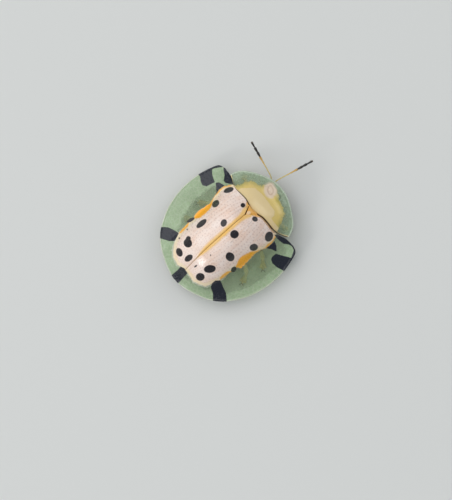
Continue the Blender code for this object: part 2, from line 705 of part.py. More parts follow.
def feeler_path(side):
    """The line of a feeler: out of the face, under the shield's rim, and on to its tip, nearly straight."""
    root = head_frame() @ Vector((side * FEELER_ROOT_SPREAD, HEAD_HALF_LENGTH + GAP, 0))
    root.z = FEELER_ROOT_Z
    bend, middle, tip = [Vector((x, y, 0)) * MM for x, y in FEELER_KNOTS[side]]
    bend.z, middle.z, tip.z = FEELER_RIM_Z, (FEELER_RIM_Z + FEELER_TIP_Z) / 2, FEELER_TIP_Z
    return smooth_line([root, bend, middle, tip], 12)


def build_feeler(name, side, collection, finish):
    """A feeler of eleven joints as one beaded bar that thickens to the club and ends in a point."""
    path = evenly(feeler_path(side), FEELER_JOINTS * FEELER_RINGS_PER_JOINT)
    rings = []
    for i, middle in enumerate(path):
        share = i / (len(path) - 1)
        swell = smoothstep(CLUB_SWELL_START, CLUB_SWELL_END, share)
        radius = FEELER_RADIUS + (CLUB_RADIUS - FEELER_RADIUS) * swell
        radius *= FEELER_WAIST_SHARE if i % FEELER_RINGS_PER_JOINT == 0 else 1.0
        radius *= 1 - FEELER_POINT_TAPER * smoothstep(FEELER_POINT_START, 1.0, share)
        ahead = path[min(i + 1, len(path) - 1)] - path[max(i - 1, 0)]
        across = ahead.cross(Vector((0, 0, 1))).normalized()
        up = across.cross(ahead).normalized()
        rings.append(circle_at(middle, across, up, radius, FEELER_SIDES))
    return object_from(loft(rings), name, collection, finish)


def stand_on_origin(collection):
    """Moves every piece so that the origin lies on the floor under the middle of the whole model."""
    bpy.context.view_layer.update()
    graph = bpy.context.evaluated_depsgraph_get()
    corners = []
    for obj in collection.objects:
        evaluated = obj.evaluated_get(graph)
        corners += [evaluated.matrix_world @ Vector(corner) for corner in evaluated.bound_box]
    low = Vector([min(corner[axis] for corner in corners) for axis in range(3)])
    high = Vector([max(corner[axis] for corner in corners) for axis in range(3)])
    shift = Matrix.Translation((-(low.x + high.x) / 2, -(low.y + high.y) / 2, -low.z))
    for obj in collection.objects:
        obj.matrix_world = shift @ obj.matrix_world


def main():
    """Builds the beetle piece by piece and sets it on the floor."""
    clear_scene()
    beetle = make_collection("sweet_potato_leaf_beetle")
    joined = make_collection("joined_pieces", shown=False)
    shell = make_material("cream wing cover", SHELL_COLOUR, 0.3)
    shield = make_material("clear yellow shield", SHIELD_COLOUR, 0.25)
    skin = make_material("ochre body plates", SKIN_COLOUR, 0.4)
    eye = make_material("black eye", EYE_COLOUR, 0.2)
    feeler = make_material("yellow feeler", FEELER_COLOUR, 0.45)
    sides = {"left": -1, "right": 1}

    build_shield("shield", beetle, shield)
    build_scutellum("scutellum", beetle, skin)
    build_prothorax("prothorax", beetle, skin)
    build_thorax("thorax", beetle, skin)
    build_abdomen("abdomen", beetle, skin)
    build_head("head", beetle, joined, skin)
    for word, side in sides.items():
        build_wing_cover(f"wing_cover_{word}", side, beetle, shell)
        build_eye(f"eye_{word}", side, beetle, eye)
        build_feeler(f"antenna_{word}", side, beetle, feeler)
    for word, places in LEG_PLACES.items():
        build_leg(f"leg_{word}", places, beetle, joined, skin)
    stand_on_origin(beetle)


main()
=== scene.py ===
"""Sweet potato leaf beetle: a life-size tortoise beetle with a spotted, domed back and a clear brim, for its render.

Sizes are millimetres in the beetle's own frame, whose origin lies on the floor under the middle of the shell, with
+X to the beetle's right and +Y ahead. FRAME_Y and MM carry them to the CAD frame's metres.
"""

import logging
import math
from dataclasses import dataclass, field
from enum import Enum
from functools import partial
from typing import Any, Callable

import bmesh
import bpy
import numpy as np
from mathutils import Matrix, Vector


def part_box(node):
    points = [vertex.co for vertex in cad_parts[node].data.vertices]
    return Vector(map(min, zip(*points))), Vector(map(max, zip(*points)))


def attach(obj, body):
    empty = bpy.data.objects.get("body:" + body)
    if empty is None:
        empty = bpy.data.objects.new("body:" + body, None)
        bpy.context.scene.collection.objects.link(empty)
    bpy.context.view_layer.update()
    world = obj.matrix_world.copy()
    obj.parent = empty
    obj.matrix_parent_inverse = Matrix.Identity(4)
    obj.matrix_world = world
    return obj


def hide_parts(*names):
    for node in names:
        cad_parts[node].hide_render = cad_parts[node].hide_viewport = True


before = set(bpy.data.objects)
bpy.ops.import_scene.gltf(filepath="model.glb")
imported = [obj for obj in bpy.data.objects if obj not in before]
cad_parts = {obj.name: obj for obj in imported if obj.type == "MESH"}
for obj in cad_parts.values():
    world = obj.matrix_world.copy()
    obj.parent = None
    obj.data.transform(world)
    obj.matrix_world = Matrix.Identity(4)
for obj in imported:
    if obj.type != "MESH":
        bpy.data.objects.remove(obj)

Tree = bpy.types.NodeTree
Node = bpy.types.Node
Material = bpy.types.Material
Piece = bpy.types.Object
Array = np.ndarray
Flat = tuple[float, float]
Point = tuple[float, float, float]
Outline = list[Flat]

MM = 0.001
BODY = "root"
CHITIN_IOR = 1.54
EDGE_TURNS = (0.25, 0.5, 0.75)
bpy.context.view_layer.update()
TIP_Y = -7.03
FRAME_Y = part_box("wing_cover_left")[0].y / MM - TIP_Y

log = logging.getLogger("beetle")


class Side(Enum):
    """The two sides of the beetle, as the sign of X."""

    LEFT = -1
    RIGHT = 1

    @property
    def word(self) -> str:
        """The side's name as the CAD nodes spell it."""
        return self.name.lower()


class Mark(Enum):
    """Marks on the shell: signed distances in millimetres, negative inside, but a share for painted edge glints."""

    SPOT = "spot"
    BAND = "band"
    DISC = "disc"
    HEM = "hem"
    STREAK = "streak"
    EDGING = "edging"
    AMBER = "amber"
    SEAM = "seam"
    BASE = "base"
    RIM = "rim"
    MILK = "milk"


class Slot(Enum):
    """The material slots that the record names."""

    WING_COVER = "wing_cover"
    SHIELD = "shield"
    BODY_PLATE = "body_plate"
    EYE = "eye"
    FEELER = "feeler"


def linear(colour: str, alpha: float = 1.0) -> tuple[float, float, float, float]:
    """Turns an sRGB hex colour into Blender's linear one.

    Args:
        colour: Six hex digits after a hash.
        alpha: The fourth channel.

    Returns:
        Linear red, green and blue, and the alpha.
    """
    parts = [int(colour[i : i + 2], 16) / 255 for i in (1, 3, 5)]
    r, g, b = [c / 12.92 if c <= 0.04045 else ((c + 0.055) / 1.055) ** 2.4 for c in parts]
    return r, g, b, alpha


def add_node(tree: Tree, kind: str, inputs: dict[Any, Any] | None = None, **settings: Any) -> Node:
    """Adds a node with its settings and links.

    Args:
        tree: The shader or geometry tree that gets the node.
        kind: Blender's type name for the node.
        inputs: For an input's name or index, its value, or the socket or node that feeds it.
        settings: The node's own properties.

    Returns:
        The new node.
    """
    node = tree.nodes.new(kind)
    for name, value in settings.items():
        setattr(node, name, value)
    for key, value in (inputs or {}).items():
        if isinstance(value, Node):
            value = value.outputs[0]
        if isinstance(value, bpy.types.NodeSocket):
            tree.links.new(value, node.inputs[key])
        else:
            node.inputs[key].default_value = value
    return node


def smoothstep(low: float, high: float, value: Array | float) -> Array:
    """A smooth rise from 0 at low to 1 at high, which may be the smaller of the two."""
    t = np.clip((np.asarray(value, float) - low) / (high - low), 0, 1)
    return t * t * (3 - 2 * t)


def smooth_line(points: list[Any], steps: int) -> Array:
    """A Catmull-Rom curve through points.

    Args:
        points: The points it passes through, of two or three numbers.
        steps: Points made for each stretch.

    Returns:
        The curve's points, one a row.
    """
    inner = [np.array(point, float) for point in points]
    ends = [2 * inner[0] - inner[1], *inner, 2 * inner[-1] - inner[-2]]
    line = []
    for a, b, c, d in zip(ends, ends[1:], ends[2:], ends[3:]):
        for t in np.arange(steps) / steps:
            rise = 2 * a - 5 * b + 4 * c - d
            line.append(0.5 * (2 * b + (c - a) * t + rise * t**2 + (3 * b - a - 3 * c + d) * t**3))
    return np.array([*line, inner[-1]])


def bell(value: Array, width: float) -> Array:
    """A bell curve, 1 where the value is 0 and almost 0 at twice the width."""
    return np.exp(-((value / width) ** 2))


def spaced(line: Array, shares: Array) -> Array:
    """One point for each share, from 0 to 1, of a line's length."""
    walked = np.concatenate([[0.0], np.cumsum(np.linalg.norm(np.diff(line, axis=0), axis=1))])
    return np.stack([np.interp(shares * walked[-1], walked, column) for column in line.T], axis=1)


def polygon_distance(places: Array, corners: Outline, closed: bool = True) -> Array:
    """Distance from places to a polygon's outline, negative inside it, or to an open line.

    Args:
        places: Points in the plane, one a row.
        corners: The polygon's or line's corners.
        closed: Whether the last corner joins the first.

    Returns:
        One distance for each place.
    """
    starts = np.array(corners, float)
    ends = np.roll(starts, -1, axis=0)
    if not closed:
        starts, ends = starts[:-1], ends[:-1]
    nearest = np.full(len(places), np.inf)
    inside = np.zeros(len(places), bool)
    x, y = places[:, 0], places[:, 1]
    for (ax, ay), (bx, by) in zip(starts, ends):
        step = np.array([bx - ax, by - ay])
        along = ((x - ax) * step[0] + (y - ay) * step[1]) / (step @ step)
        along = np.clip(along, 0, 1)
        nearest = np.minimum(nearest, np.hypot(x - ax - step[0] * along, y - ay - step[1] * along))
        if (by - ay) != 0:
            crosses = ((ay > y) != (by > y)) & (x < (bx - ax) * (y - ay) / (by - ay) + ax)
            inside ^= crosses
    return np.where(inside & closed, -nearest, nearest)


def linked(name: str, data: bpy.types.ID) -> Piece:
    """Makes an object and puts it in the scene.

    Args:
        name: Its name.
        data: Its mesh, light or camera.

    Returns:
        The object, at the origin.
    """
    obj = bpy.data.objects.new(name, data)
    bpy.context.scene.collection.objects.link(obj)
    return obj


def write_uv(mesh: bpy.types.Mesh, name: str, places: Array) -> None:
    """Gives a mesh a UV map.

    Args:
        mesh: The mesh.
        name: The map's name.
        places: One place on the map for each point of the mesh.
    """
    corners = np.empty(len(mesh.loops), np.int32)
    mesh.loops.foreach_get("vertex_index", corners)
    mesh.uv_layers.new(name=name).data.foreach_set("uv", places[corners].astype(np.float32).ravel())


@dataclass
class Skin:
    """A closed surface: points in millimetres in the beetle's frame, and the faces between them."""

    points: Array
    faces: list[tuple[int, ...]]
    marks: dict[str, Array] = field(default_factory=dict)
    slots: list[int] = field(default_factory=list)
    uv: Array | None = None

    @classmethod
    def loft(cls, rings: Array) -> "Skin":
        """Skins rings of points and closes both ends with a fan.

        Args:
            rings: Points by ring, place on the ring, and axis.

        Returns:
            The closed skin.
        """
        count, sides = rings.shape[:2]
        points = [*rings.reshape(-1, 3), rings[0].mean(axis=0), rings[-1].mean(axis=0)]
        faces: list[tuple[int, ...]] = []
        for ring in range(count - 1):
            for i in range(sides):
                j, low, high = (i + 1) % sides, ring * sides, (ring + 1) * sides
                faces.append((low + i, low + j, high + j, high + i))
        first, last, end = count * sides, count * sides + 1, (count - 1) * sides
        faces += [((i + 1) % sides, i, first) for i in range(sides)]
        faces += [(end + i, end + (i + 1) % sides, last) for i in range(sides)]
        round_it, along = np.tile(np.arange(sides) / sides, count), np.repeat(np.arange(count) / (count - 1), sides)
        wrap = {"wrap_u": np.append(round_it, (0.5, 0.5)), "wrap_v": np.append(along, (0.0, 1.0))}
        return cls(np.array(points), faces, wrap)

    @classmethod
    def tube(cls, path: Array, widths: Array, heights: Array, sides: int = 16, blunt: float = 1.0) -> "Skin":
        """Sweeps an oval section along a path.

        Args:
            path: The middle line's points.
            widths: Half the section's width at each point, level and across the path.
            heights: Half its height at each point.
            sides: Points round the section.
            blunt: Below 1 the section is boxier than an oval.

        Returns:
            The closed tube.
        """
        ahead = np.gradient(path, axis=0)
        ahead /= np.linalg.norm(ahead, axis=1, keepdims=True)
        across = np.cross(ahead, [0.0, 0.0, 1.0])
        across /= np.maximum(np.linalg.norm(across, axis=1, keepdims=True), 1e-6)
        up = np.cross(across, ahead)
        turn = np.linspace(0, 2 * np.pi, sides, endpoint=False)
        cos, sin = [np.copysign(np.abs(f) ** blunt, f) for f in (np.cos(turn), np.sin(turn))]
        rings = path[:, None] + across[:, None] * (np.outer(widths, cos))[..., None]
        return cls.loft(rings + up[:, None] * (np.outer(heights, sin))[..., None])

    @classmethod
    def egg(
        cls, centre: Point, radii: Point, sides: int = 32, rings: int = 20,
        shape: Callable[[Array], Array] | None = None,
    ) -> "Skin":
        """An egg-shaped piece with its poles up and down.

        Args:
            centre: Its middle.
            radii: Its half sizes.
            sides: Points round it.
            rings: Rings from pole to pole.
            shape: Changes the points of the unit ball before they are scaled.

        Returns:
            The closed egg.
        """
        polar = np.linspace(0.02, 0.98, rings) * np.pi
        turn = np.linspace(0, 2 * np.pi, sides, endpoint=False)
        ball = np.stack(
            [
                np.outer(np.sin(polar), np.cos(turn)), np.outer(np.sin(polar), np.sin(turn)),
                np.outer(np.cos(polar), np.ones(sides)),
            ],
            axis=-1,
        )
        if shape is not None:
            ball = shape(ball)
        return cls.loft(ball * np.array(radii) + np.array(centre))

    def turned(self, place: Matrix) -> "Skin":
        """The same skin carried by a matrix whose lengths are millimetres."""
        points = self.points @ np.array(place.to_3x3()).T + np.array(place.to_translation())
        return Skin(points, self.faces, self.marks, self.slots, self.uv)

    @staticmethod
    def joined(skins: list["Skin"]) -> "Skin":
        """Several skins as one, whose unwraps lie side by side in a square of tiles.

        Args:
            skins: The skins, which keep their order.

        Returns:
            One skin that holds them all.
        """
        faces: list[tuple[int, ...]] = []
        slots: list[int] = []
        start, tiles = 0, math.ceil(math.sqrt(len(skins)))
        for place, skin in enumerate(skins):
            for name, step in (("wrap_u", place % tiles), ("wrap_v", place // tiles)):
                skin.marks[name] = (step + 0.03 + 0.94 * skin.marks[name]) / tiles
            faces += [tuple(i + start for i in face) for face in skin.faces]
            slots += skin.slots or [0] * len(skin.faces)
            start += len(skin.points)
        names = {name for skin in skins for name in skin.marks}
        marks = {
            name: np.concatenate([skin.marks.get(name, np.zeros(len(skin.points))) for skin in skins])
            for name in names
        }
        return Skin(np.concatenate([skin.points for skin in skins]), faces, marks, slots)

    def coloured(self, slot: int) -> "Skin":
        """Puts all of the skin in one material slot and returns it."""
        self.slots = [slot] * len(self.faces)
        return self

    def marked(self, **values: float) -> "Skin":
        """Gives every point the same value of each named attribute, and returns the skin."""
        self.marks.update({name: np.full(len(self.points), value) for name, value in values.items()})
        return self

    def piece(self, name: str, finishes: list[Material]) -> Piece:
        """Makes the skin an object with its faces outwards.

        Args:
            name: The object's name.
            finishes: Its materials, by slot.

        Returns:
            The object, at the origin.
        """
        mesh = bpy.data.meshes.new(name)
        placed = (self.points + np.array([0.0, FRAME_Y, 0.0])) * MM
        mesh.from_pydata(placed.tolist(), [], self.faces)
        for mark, values in self.marks.items():
            layer = mesh.attributes.new(mark, "FLOAT", "POINT")
            layer.data.foreach_set("value", np.asarray(values, np.float32))
        if self.slots:
            mesh.polygons.foreach_set("material_index", self.slots)
        if self.uv is not None:
            write_uv(mesh, "rows", self.uv)
        bm = bmesh.new()
        bm.from_mesh(mesh)
        bmesh.ops.recalc_face_normals(bm, faces=bm.faces)
        bm.to_mesh(mesh)
        bm.free()
        mesh.shade_smooth()
        for finish in finishes:
            mesh.materials.append(finish)
        return linked(name, mesh)


def deliver(obj: Piece, slot: Slot, *nodes: str) -> None:
    """Hands a finished piece to the frame: it rides on the body and stands for its CAD nodes.

    Args:
        obj: The piece.
        slot: The record's slot that its finish belongs to; not used.
        nodes: The CAD nodes that it replaces.
    """
    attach(obj, BODY)
    if nodes:
        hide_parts(*nodes)
    log.info("%s: %d faces", obj.name, len(obj.data.polygons))


@dataclass(frozen=True)
class ShellForm:
    """The upper face of the wing covers and the shield, with the sizes that the CAD model has."""

    brim_edge_z: float = 1.55
    brim_root_z: float = 2.5
    brim_curve: float = 1.4
    rear_edge_lift: float = 0.1
    dome_rise: float = 3.0
    dome_centre_y: float = 0.9
    dome_rear_y: float = -6.0
    dome_front_reach: float = 6.6
    dome_half_width: float = 3.35
    shoulder_spread: float = 0.3
    shoulder_y: float = 2.6
    bluntness: float = 3.2
    fullness: float = 2.6
    base_drop: float = 0.27
    oval_centre_y: float = 0.5
    oval_half_width: float = 6.54
    oval_half_length: float = 6.5
    shield_half_width: float = 3.35
    shield_bluntness: float = 2.6
    shield_base_y: float = 3.2
    shield_length: float = 2.8
    shield_rise: float = 1.75
    shield_rise_power: float = 1.7
    shield_front_lift: float = 0.15
    shield_edge_drop: float = 0.45
    shield_centre_y: float = 4.3
    directions: int = 1441
    furthest: float = 12.0
    halvings: int = 40
    base_line: tuple[Flat, ...] = (
        (0.0, 3.27), (0.55, 3.38), (1.25, 3.58), (2.0, 3.57), (2.8, 3.54), (3.5, 3.7), (4.25, 4.03), (5.2, 4.12),
    )
    brim_line: tuple[Flat, ...] = (
        (5.72, 3.9), (6.02, 3.4), (6.42, 1.9), (6.54, 0.5), (6.46, -0.85), (6.08, -2.45), (5.45, -3.75),
        (4.7, -4.85), (3.6, -5.8), (2.1, -6.53), (0.9, -6.9), (0.0, -7.03),
    )
    shield_line: tuple[Flat, ...] = (
        (4.27, 4.14), (4.12, 4.68), (3.72, 5.32), (2.95, 5.93), (2.0, 6.48), (1.0, 6.88), (0.0, 7.02),
    )

    def dome_radius(self, x: Array, y: Array) -> Array:
        """How far out places are on the dome.

        Args:
            x: Their distances from the middle line.
            y: Their places along it.

        Returns:
            0 at the dome's middle and 1 at its foot.
        """
        half_width = self.dome_half_width + self.shoulder_spread * smoothstep(0, self.shoulder_y, y)
        reach = np.where(y > self.dome_centre_y, self.dome_front_reach, self.dome_centre_y - self.dome_rear_y)
        across = (np.abs(x) / half_width) ** self.bluntness
        return (across + (np.abs(y - self.dome_centre_y) / reach) ** self.bluntness) ** (1 / self.bluntness)

    def brim_drop(self, share: Array) -> Array:
        """Fall of a brim from its root, 0, to its edge, 1."""
        return 1 - (1 - np.clip(share, 0, 1)) ** self.brim_curve

    def reaches(self, turns: Array, centre_y: float, radius: Callable[..., Array]) -> Array:
        """Where a dome's foot lies on lines out from a centre.

        Args:
            turns: The lines' directions.
            centre_y: The centre's place on the middle line.
            radius: How far out a place is on the dome, 1 at its foot.

        Returns:
            The foot's distance along each line.
        """
        low, high = np.zeros_like(turns), np.full_like(turns, self.furthest)
        for _ in range(self.halvings):
            middle = (low + high) / 2
            out = radius(middle * np.cos(turns), centre_y + middle * np.sin(turns)) > 1
            low, high = np.where(out, low, middle), np.where(out, middle, high)
        return low

    def rim_distance(self, turns: Array, centre_y: float, rim: Array) -> Array:
        """Where a rim lies on lines out from a centre.

        Args:
            turns: The lines' directions.
            centre_y: The centre's place on the middle line.
            rim: The rim's points, in the order of their direction.

        Returns:
            The rim's distance along each line.
        """
        places = np.arctan2(rim[:, 1] - centre_y, rim[:, 0])
        order = np.argsort(places)
        distance = np.hypot(rim[:, 0], rim[:, 1] - centre_y)
        return np.interp(turns, places[order], distance[order])

    def cover_height(self, x: Array, y: Array) -> Array:
        """Height of the wing covers' upper face.

        Args:
            x: Places across.
            y: Places along.

        Returns:
            The heights above the floor.
        """
        x = np.abs(x)
        turns = np.linspace(-np.pi / 2, np.pi / 2, self.directions)
        foot = self.reaches(turns, self.dome_centre_y, self.dome_radius)
        rim = smooth_line([self.base_line[-1], *self.brim_line], 12)
        rims = self.rim_distance(turns, self.dome_centre_y, rim)
        rims = np.where(turns > math.atan2(rim[0, 1] - self.dome_centre_y, rim[0, 0]), 0, rims)
        across, along = np.cos(turns) / self.oval_half_width, np.sin(turns) / self.oval_half_length
        start = (self.dome_centre_y - self.oval_centre_y) / self.oval_half_length
        a, b, c = across**2 + along**2, start * along, start**2 - 1
        reach = np.maximum(rims, (np.sqrt(b * b - a * c) - b) / a)
        turn, out = np.arctan2(y - self.dome_centre_y, x), np.hypot(x, y - self.dome_centre_y)
        at_foot, at_reach = np.interp(turn, turns, foot), np.interp(turn, turns, reach)
        share = (out - at_foot) / np.maximum(at_reach - at_foot, 1e-6)
        edge = self.brim_edge_z + self.rear_edge_lift * smoothstep(0, self.dome_rear_y, y)
        fall = 1 - self.base_drop * smoothstep(1.2, 3.9, y)
        dome = self.dome_rise * fall * np.maximum(1 - self.dome_radius(x, y) ** self.fullness, 0)
        return self.brim_root_z - (self.brim_root_z - edge) * self.brim_drop(share) + dome

    def shield_radius(self, x: Array, y: Array) -> Array:
        """How far out places are on the shield's dome.

        Args:
            x: Their distances from the middle line.
            y: Their places along it.

        Returns:
            0 at the dome's middle and 1 at its foot.
        """
        along = np.maximum(y - self.shield_base_y, 0) / self.shield_length
        sides = (np.abs(x) / self.shield_half_width) ** self.shield_bluntness
        return (sides + along**self.shield_bluntness) ** (1 / self.shield_bluntness)

    def shield_height(self, x: Array, y: Array) -> Array:
        """Height of the shield's upper face.

        Args:
            x: Places across.
            y: Places along.

        Returns:
            The heights above the floor.
        """
        turns = np.linspace(-np.pi, np.pi, self.directions)
        foot = self.reaches(turns, self.shield_centre_y, self.shield_radius)
        line = smooth_line([*self.base_line[:6], *self.shield_line], 8)
        rim = np.concatenate([line, line[::-1] * [-1, 1]])
        reach = self.rim_distance(turns, self.shield_centre_y, rim)
        turn, out = np.arctan2(y - self.shield_centre_y, x), np.hypot(x, y - self.shield_centre_y)
        at_foot, at_reach = np.interp(turn, turns, foot), np.interp(turn, turns, reach)
        share = np.where(at_foot < at_reach, (out - at_foot) / np.maximum(at_reach - at_foot, 1e-3), 0)
        along = np.clip((y - self.shield_base_y) / self.shield_length, 0, 1)
        root = self.brim_root_z + self.shield_front_lift * smoothstep(0, 1, along)
        rise = self.shield_rise * (1 - along**self.shield_rise_power)
        dome = rise * np.maximum(1 - self.shield_radius(x, y) ** self.fullness, 0)
        return root - self.shield_edge_drop * self.brim_drop(share) + dome


FORM = ShellForm()


@dataclass(frozen=True)
class Finish:
    """What a surface is made of. Each kind wires its own shader."""

    name: str

    def shader(self, tree: Tree) -> Node:
        """Wires the shader in a tree and returns its last node."""
        raise NotImplementedError

    def material(self) -> Material:
        """Makes the material.

        Returns:
            The material, with nothing in its tree but this finish.
        """
        made = bpy.data.materials.new(self.name)
        made.use_nodes = True
        made.node_tree.nodes.clear()
        add_node(made.node_tree, "ShaderNodeOutputMaterial", {"Surface": self.shader(made.node_tree)})
        return made

    @staticmethod
    def painted(tree: Tree, colour: Any, layers: list[tuple[Any, float, str]]) -> Any:
        """Lays paints over a colour, each over the ones before it.

        Args:
            tree: The material's tree.
            colour: The colour below, as a hex value or as the socket that gives it.
            layers: Each paint's mask, its strength where the mask is 1, and its hex colour.

        Returns:
            The socket with the painted colour.
        """
        below = linear(colour) if isinstance(colour, str) else colour
        for mask, strength, paint in layers:
            share = add_node(tree, "ShaderNodeMath", {0: mask, 1: strength}, operation="MULTIPLY")
            mixed = {0: share, 6: below, 7: linear(paint)}
            below = add_node(tree, "ShaderNodeMix", mixed, data_type="RGBA").outputs[2]
        return below

    @staticmethod
    def highest(tree: Tree, shares: list[Any]) -> Node:
        """The highest of several shares, at most 1.

        Args:
            tree: The material's tree.
            shares: The sockets or nodes that give them.

        Returns:
            The node that gives it.
        """
        top = shares[0]
        for share in shares[1:]:
            top = add_node(tree, "ShaderNodeMath", {0: top, 1: share}, operation="MAXIMUM")
        top.use_clamp = True
        return top

    @staticmethod
    def mask(tree: Tree, mark: str, wobble: Any, sway: float, low: float, high: float) -> Node:
        """Turns a marking's distance into a mask whose edge noise moves.

        Args:
            tree: The material's tree.
            mark: The attribute that holds the distance.
            wobble: The noise, from 0 to 1.
            sway: How far the noise moves the edge, in millimetres.
            low: The distance where the mask starts.
            high: The distance where it is whole.

        Returns:
            The node that gives 1 inside the marking.
        """
        distance = add_node(tree, "ShaderNodeAttribute", attribute_name=mark).outputs["Fac"]
        moved = add_node(tree, "ShaderNodeMath", {0: wobble, 1: sway, 2: distance}, operation="MULTIPLY_ADD")
        span = {"Value": moved, "From Min": low + sway / 2, "From Max": high + sway / 2}
        return add_node(tree, "ShaderNodeMapRange", span, interpolation_type="SMOOTHSTEP")

    @staticmethod
    def glazed(tree: Tree, opacity: Node, solid: Node, tint: str) -> Node:
        """Lets what lies below show through a shader, tinted, where the opacity is less than 1."""
        clear = add_node(tree, "ShaderNodeBsdfTransparent", {"Color": linear(tint)})
        return add_node(tree, "ShaderNodeMixShader", {0: opacity, 1: clear, 2: solid})


@dataclass(frozen=True)
class WingCoverCuticle(Finish):
    """Chitin, hardened and lacquered by the beetle itself: cream and opaque on the disc, glass-clear on the brim.

    The eye sees a glossy, faintly blushed cream with soft rows of pits, ink-black spots, and a brim that shows
    whatever lies below it through a finely netted film, milky partly of itself and partly by a painted sky reflection.
    """

    name: str = "beetle cuticle, cream and clear"
    cream: str = "#F6E3D6"
    blush: str = "#EAC6AE"
    pit: str = "#A0766A"
    straw: str = "#F0DCA0"
    amber: str = "#F2B844"
    edging: str = "#F4AC24"
    orange: str = "#FFAE0A"
    spot: str = "#160D10"
    # Black with a bluish tint painted in for the sky's sheen on the bands
    band: str = "#070F1E"
    # Milky green of the film, whose clouds and band near the rim partly paint the sky's reflection
    milk: str = "#A0B78E"
    glass: str = "#F1F6EA"
    # Pale cream-white of the net's cells, and of the painted highlights on the rim line and the disc edge's flecks
    edge: str = "#F6F1E2"
    seam: str = "#9A6A2C"
    row_gap: float = 0.33
    pit_gap: float = 0.28
    milk_share: float = 0.4
    net_size: float = 0.4
    # For each marking, half the width of its soft edge and how far noise moves it
    edges: tuple[tuple[Mark, float, float], ...] = (
        (Mark.SPOT, 0.03, 0.05), (Mark.BAND, 0.03, 0.06), (Mark.DISC, 0.07, 0.22), (Mark.STREAK, 0.07, 0.26),
        (Mark.EDGING, 0.07, 0.16), (Mark.AMBER, 0.15, 0.16), (Mark.SEAM, 0.02, 0.0), (Mark.BASE, 0.06, 0.08),
        (Mark.RIM, 0.03, 0.0), (Mark.MILK, 0.2, 0.7),
    )

    def near(self, tree: Tree, distance: Any, middle: float, reach: float) -> Node:
        """A mask for the line where a distance has one value.

        Args:
            tree: The material's tree.
            distance: The socket or node that gives the distance in millimetres.
            middle: The value on the line.
            reach: Where the mask ends, off the line.

        Returns:
            The node that gives 1 on the line.
        """
        away = add_node(tree, "ShaderNodeMath", {0: distance, 1: middle}, operation="SUBTRACT")
        size = add_node(tree, "ShaderNodeMath", {0: away}, operation="ABSOLUTE")
        span = {"Value": size, "From Min": reach, "From Max": reach * 0.2}
        return add_node(tree, "ShaderNodeMapRange", span, interpolation_type="SMOOTHSTEP")

    def shader(self, tree: Tree) -> Node:
        """Wires cream, markings, pits and the clear brim.

        Args:
            tree: The material's tree.

        Returns:
            The shader node.
        """
        add = partial(add_node, tree)
        place = add("ShaderNodeTexCoord").outputs["Object"]
        rows = add("ShaderNodeUVMap", uv_map="rows")
        wobble = add("ShaderNodeTexNoise", {"Vector": place, "Scale": 1 / (0.42 * MM), "Detail": 3.0})
        fine = add("ShaderNodeTexNoise", {"Vector": place, "Scale": 1 / (0.12 * MM), "Detail": 3.0})
        masks = {mark: self.mask(tree, mark.value, wobble, sway, soft, -soft) for mark, soft, sway in self.edges}

        # Pits stand in rows that follow the wing cover's own lines
        grid = add(
            "ShaderNodeVectorMath", {0: rows, 1: (1 / self.row_gap, 1 / self.pit_gap, 1.0)}, operation="MULTIPLY"
        )
        pits = add("ShaderNodeTexVoronoi", {"Vector": grid, "Scale": 1.0, "Randomness": 0.5}, voronoi_dimensions="2D")
        span = {"Value": pits.outputs["Distance"], "From Min": 0.3, "From Max": 0.06}
        pit = add("ShaderNodeMapRange", span, interpolation_type="SMOOTHSTEP")
        streaked = add("ShaderNodeVectorMath", {0: rows, 1: (7.0, 0.7, 1.0)}, operation="MULTIPLY")
        grain = add("ShaderNodeTexNoise", {"Vector": streaked, "Scale": 1.0, "Detail": 3.0})
        cloud = add("ShaderNodeTexNoise", {"Vector": place, "Scale": 1 / (1.6 * MM), "Detail": 2.0})
        blotch = add("ShaderNodeMath", {0: cloud, 1: grain}, operation="MULTIPLY")
        blush = add("ShaderNodeMapRange", {"Value": blotch, "From Min": 0.14, "From Max": 0.4, "To Max": 0.8})
        ridge = add("ShaderNodeMapRange", {"Value": grain, "From Min": 0.42, "From Max": 0.62})

        # The brim's film is netted like a leaf, which shows as faint paler cells
        net = add(
            "ShaderNodeTexVoronoi", {"Vector": place, "Scale": 1 / (self.net_size * MM)}, feature="DISTANCE_TO_EDGE",
        )
        lines = add("ShaderNodeMapRange", {"Value": net, "From Min": 0.12, "From Max": 0.0, "To Max": 0.14})

        # The disc's edge is crinkled where it meets the brim, with pale flecks painted on as highlights, strongest
        # towards the rear, and straw yellow just inside
        side = add("ShaderNodeAttribute", attribute_name=Mark.DISC.value).outputs["Fac"]
        crinkle = add("ShaderNodeTexNoise", {"Vector": place, "Scale": 1 / (0.2 * MM), "Detail": 4.0})
        bent = add("ShaderNodeMath", {0: crinkle, 1: 0.4, 2: side}, operation="MULTIPLY_ADD")
        rear = add("ShaderNodeAttribute", attribute_name=Mark.HEM.value).outputs["Fac"]
        flecks = self.near(tree, bent, 0.24, 0.12)
        hem = add("ShaderNodeMath", {0: flecks, 1: rear}, operation="MULTIPLY")
        fringe = self.near(tree, bent, 0.06, 0.34)

        base = add("ShaderNodeAttribute", attribute_name=Mark.BASE.value).outputs["Fac"]
        groove = self.near(tree, base, 0.06, 0.045)
        cover = self.painted(tree, self.cream, [
            (blush, 1.0, self.blush), (pit, 0.3, self.pit), (fringe, 0.5, self.straw),
            (masks[Mark.EDGING], 0.92, self.edging), (masks[Mark.STREAK], 1.0, self.orange),
            (masks[Mark.AMBER], 0.85, self.amber), (masks[Mark.BASE], 0.85, self.edging), (groove, 0.75, self.seam),
        ])
        milk = self.painted(tree, self.milk, [(lines, 1.0, self.edge)])
        whole = self.highest(tree, [masks[Mark.DISC], masks[Mark.STREAK]])
        mixed = add("ShaderNodeMix", {0: whole, 6: milk, 7: cover}, data_type="RGBA")
        glow = add("ShaderNodeMath", {0: masks[Mark.AMBER], 1: ridge}, operation="MULTIPLY")
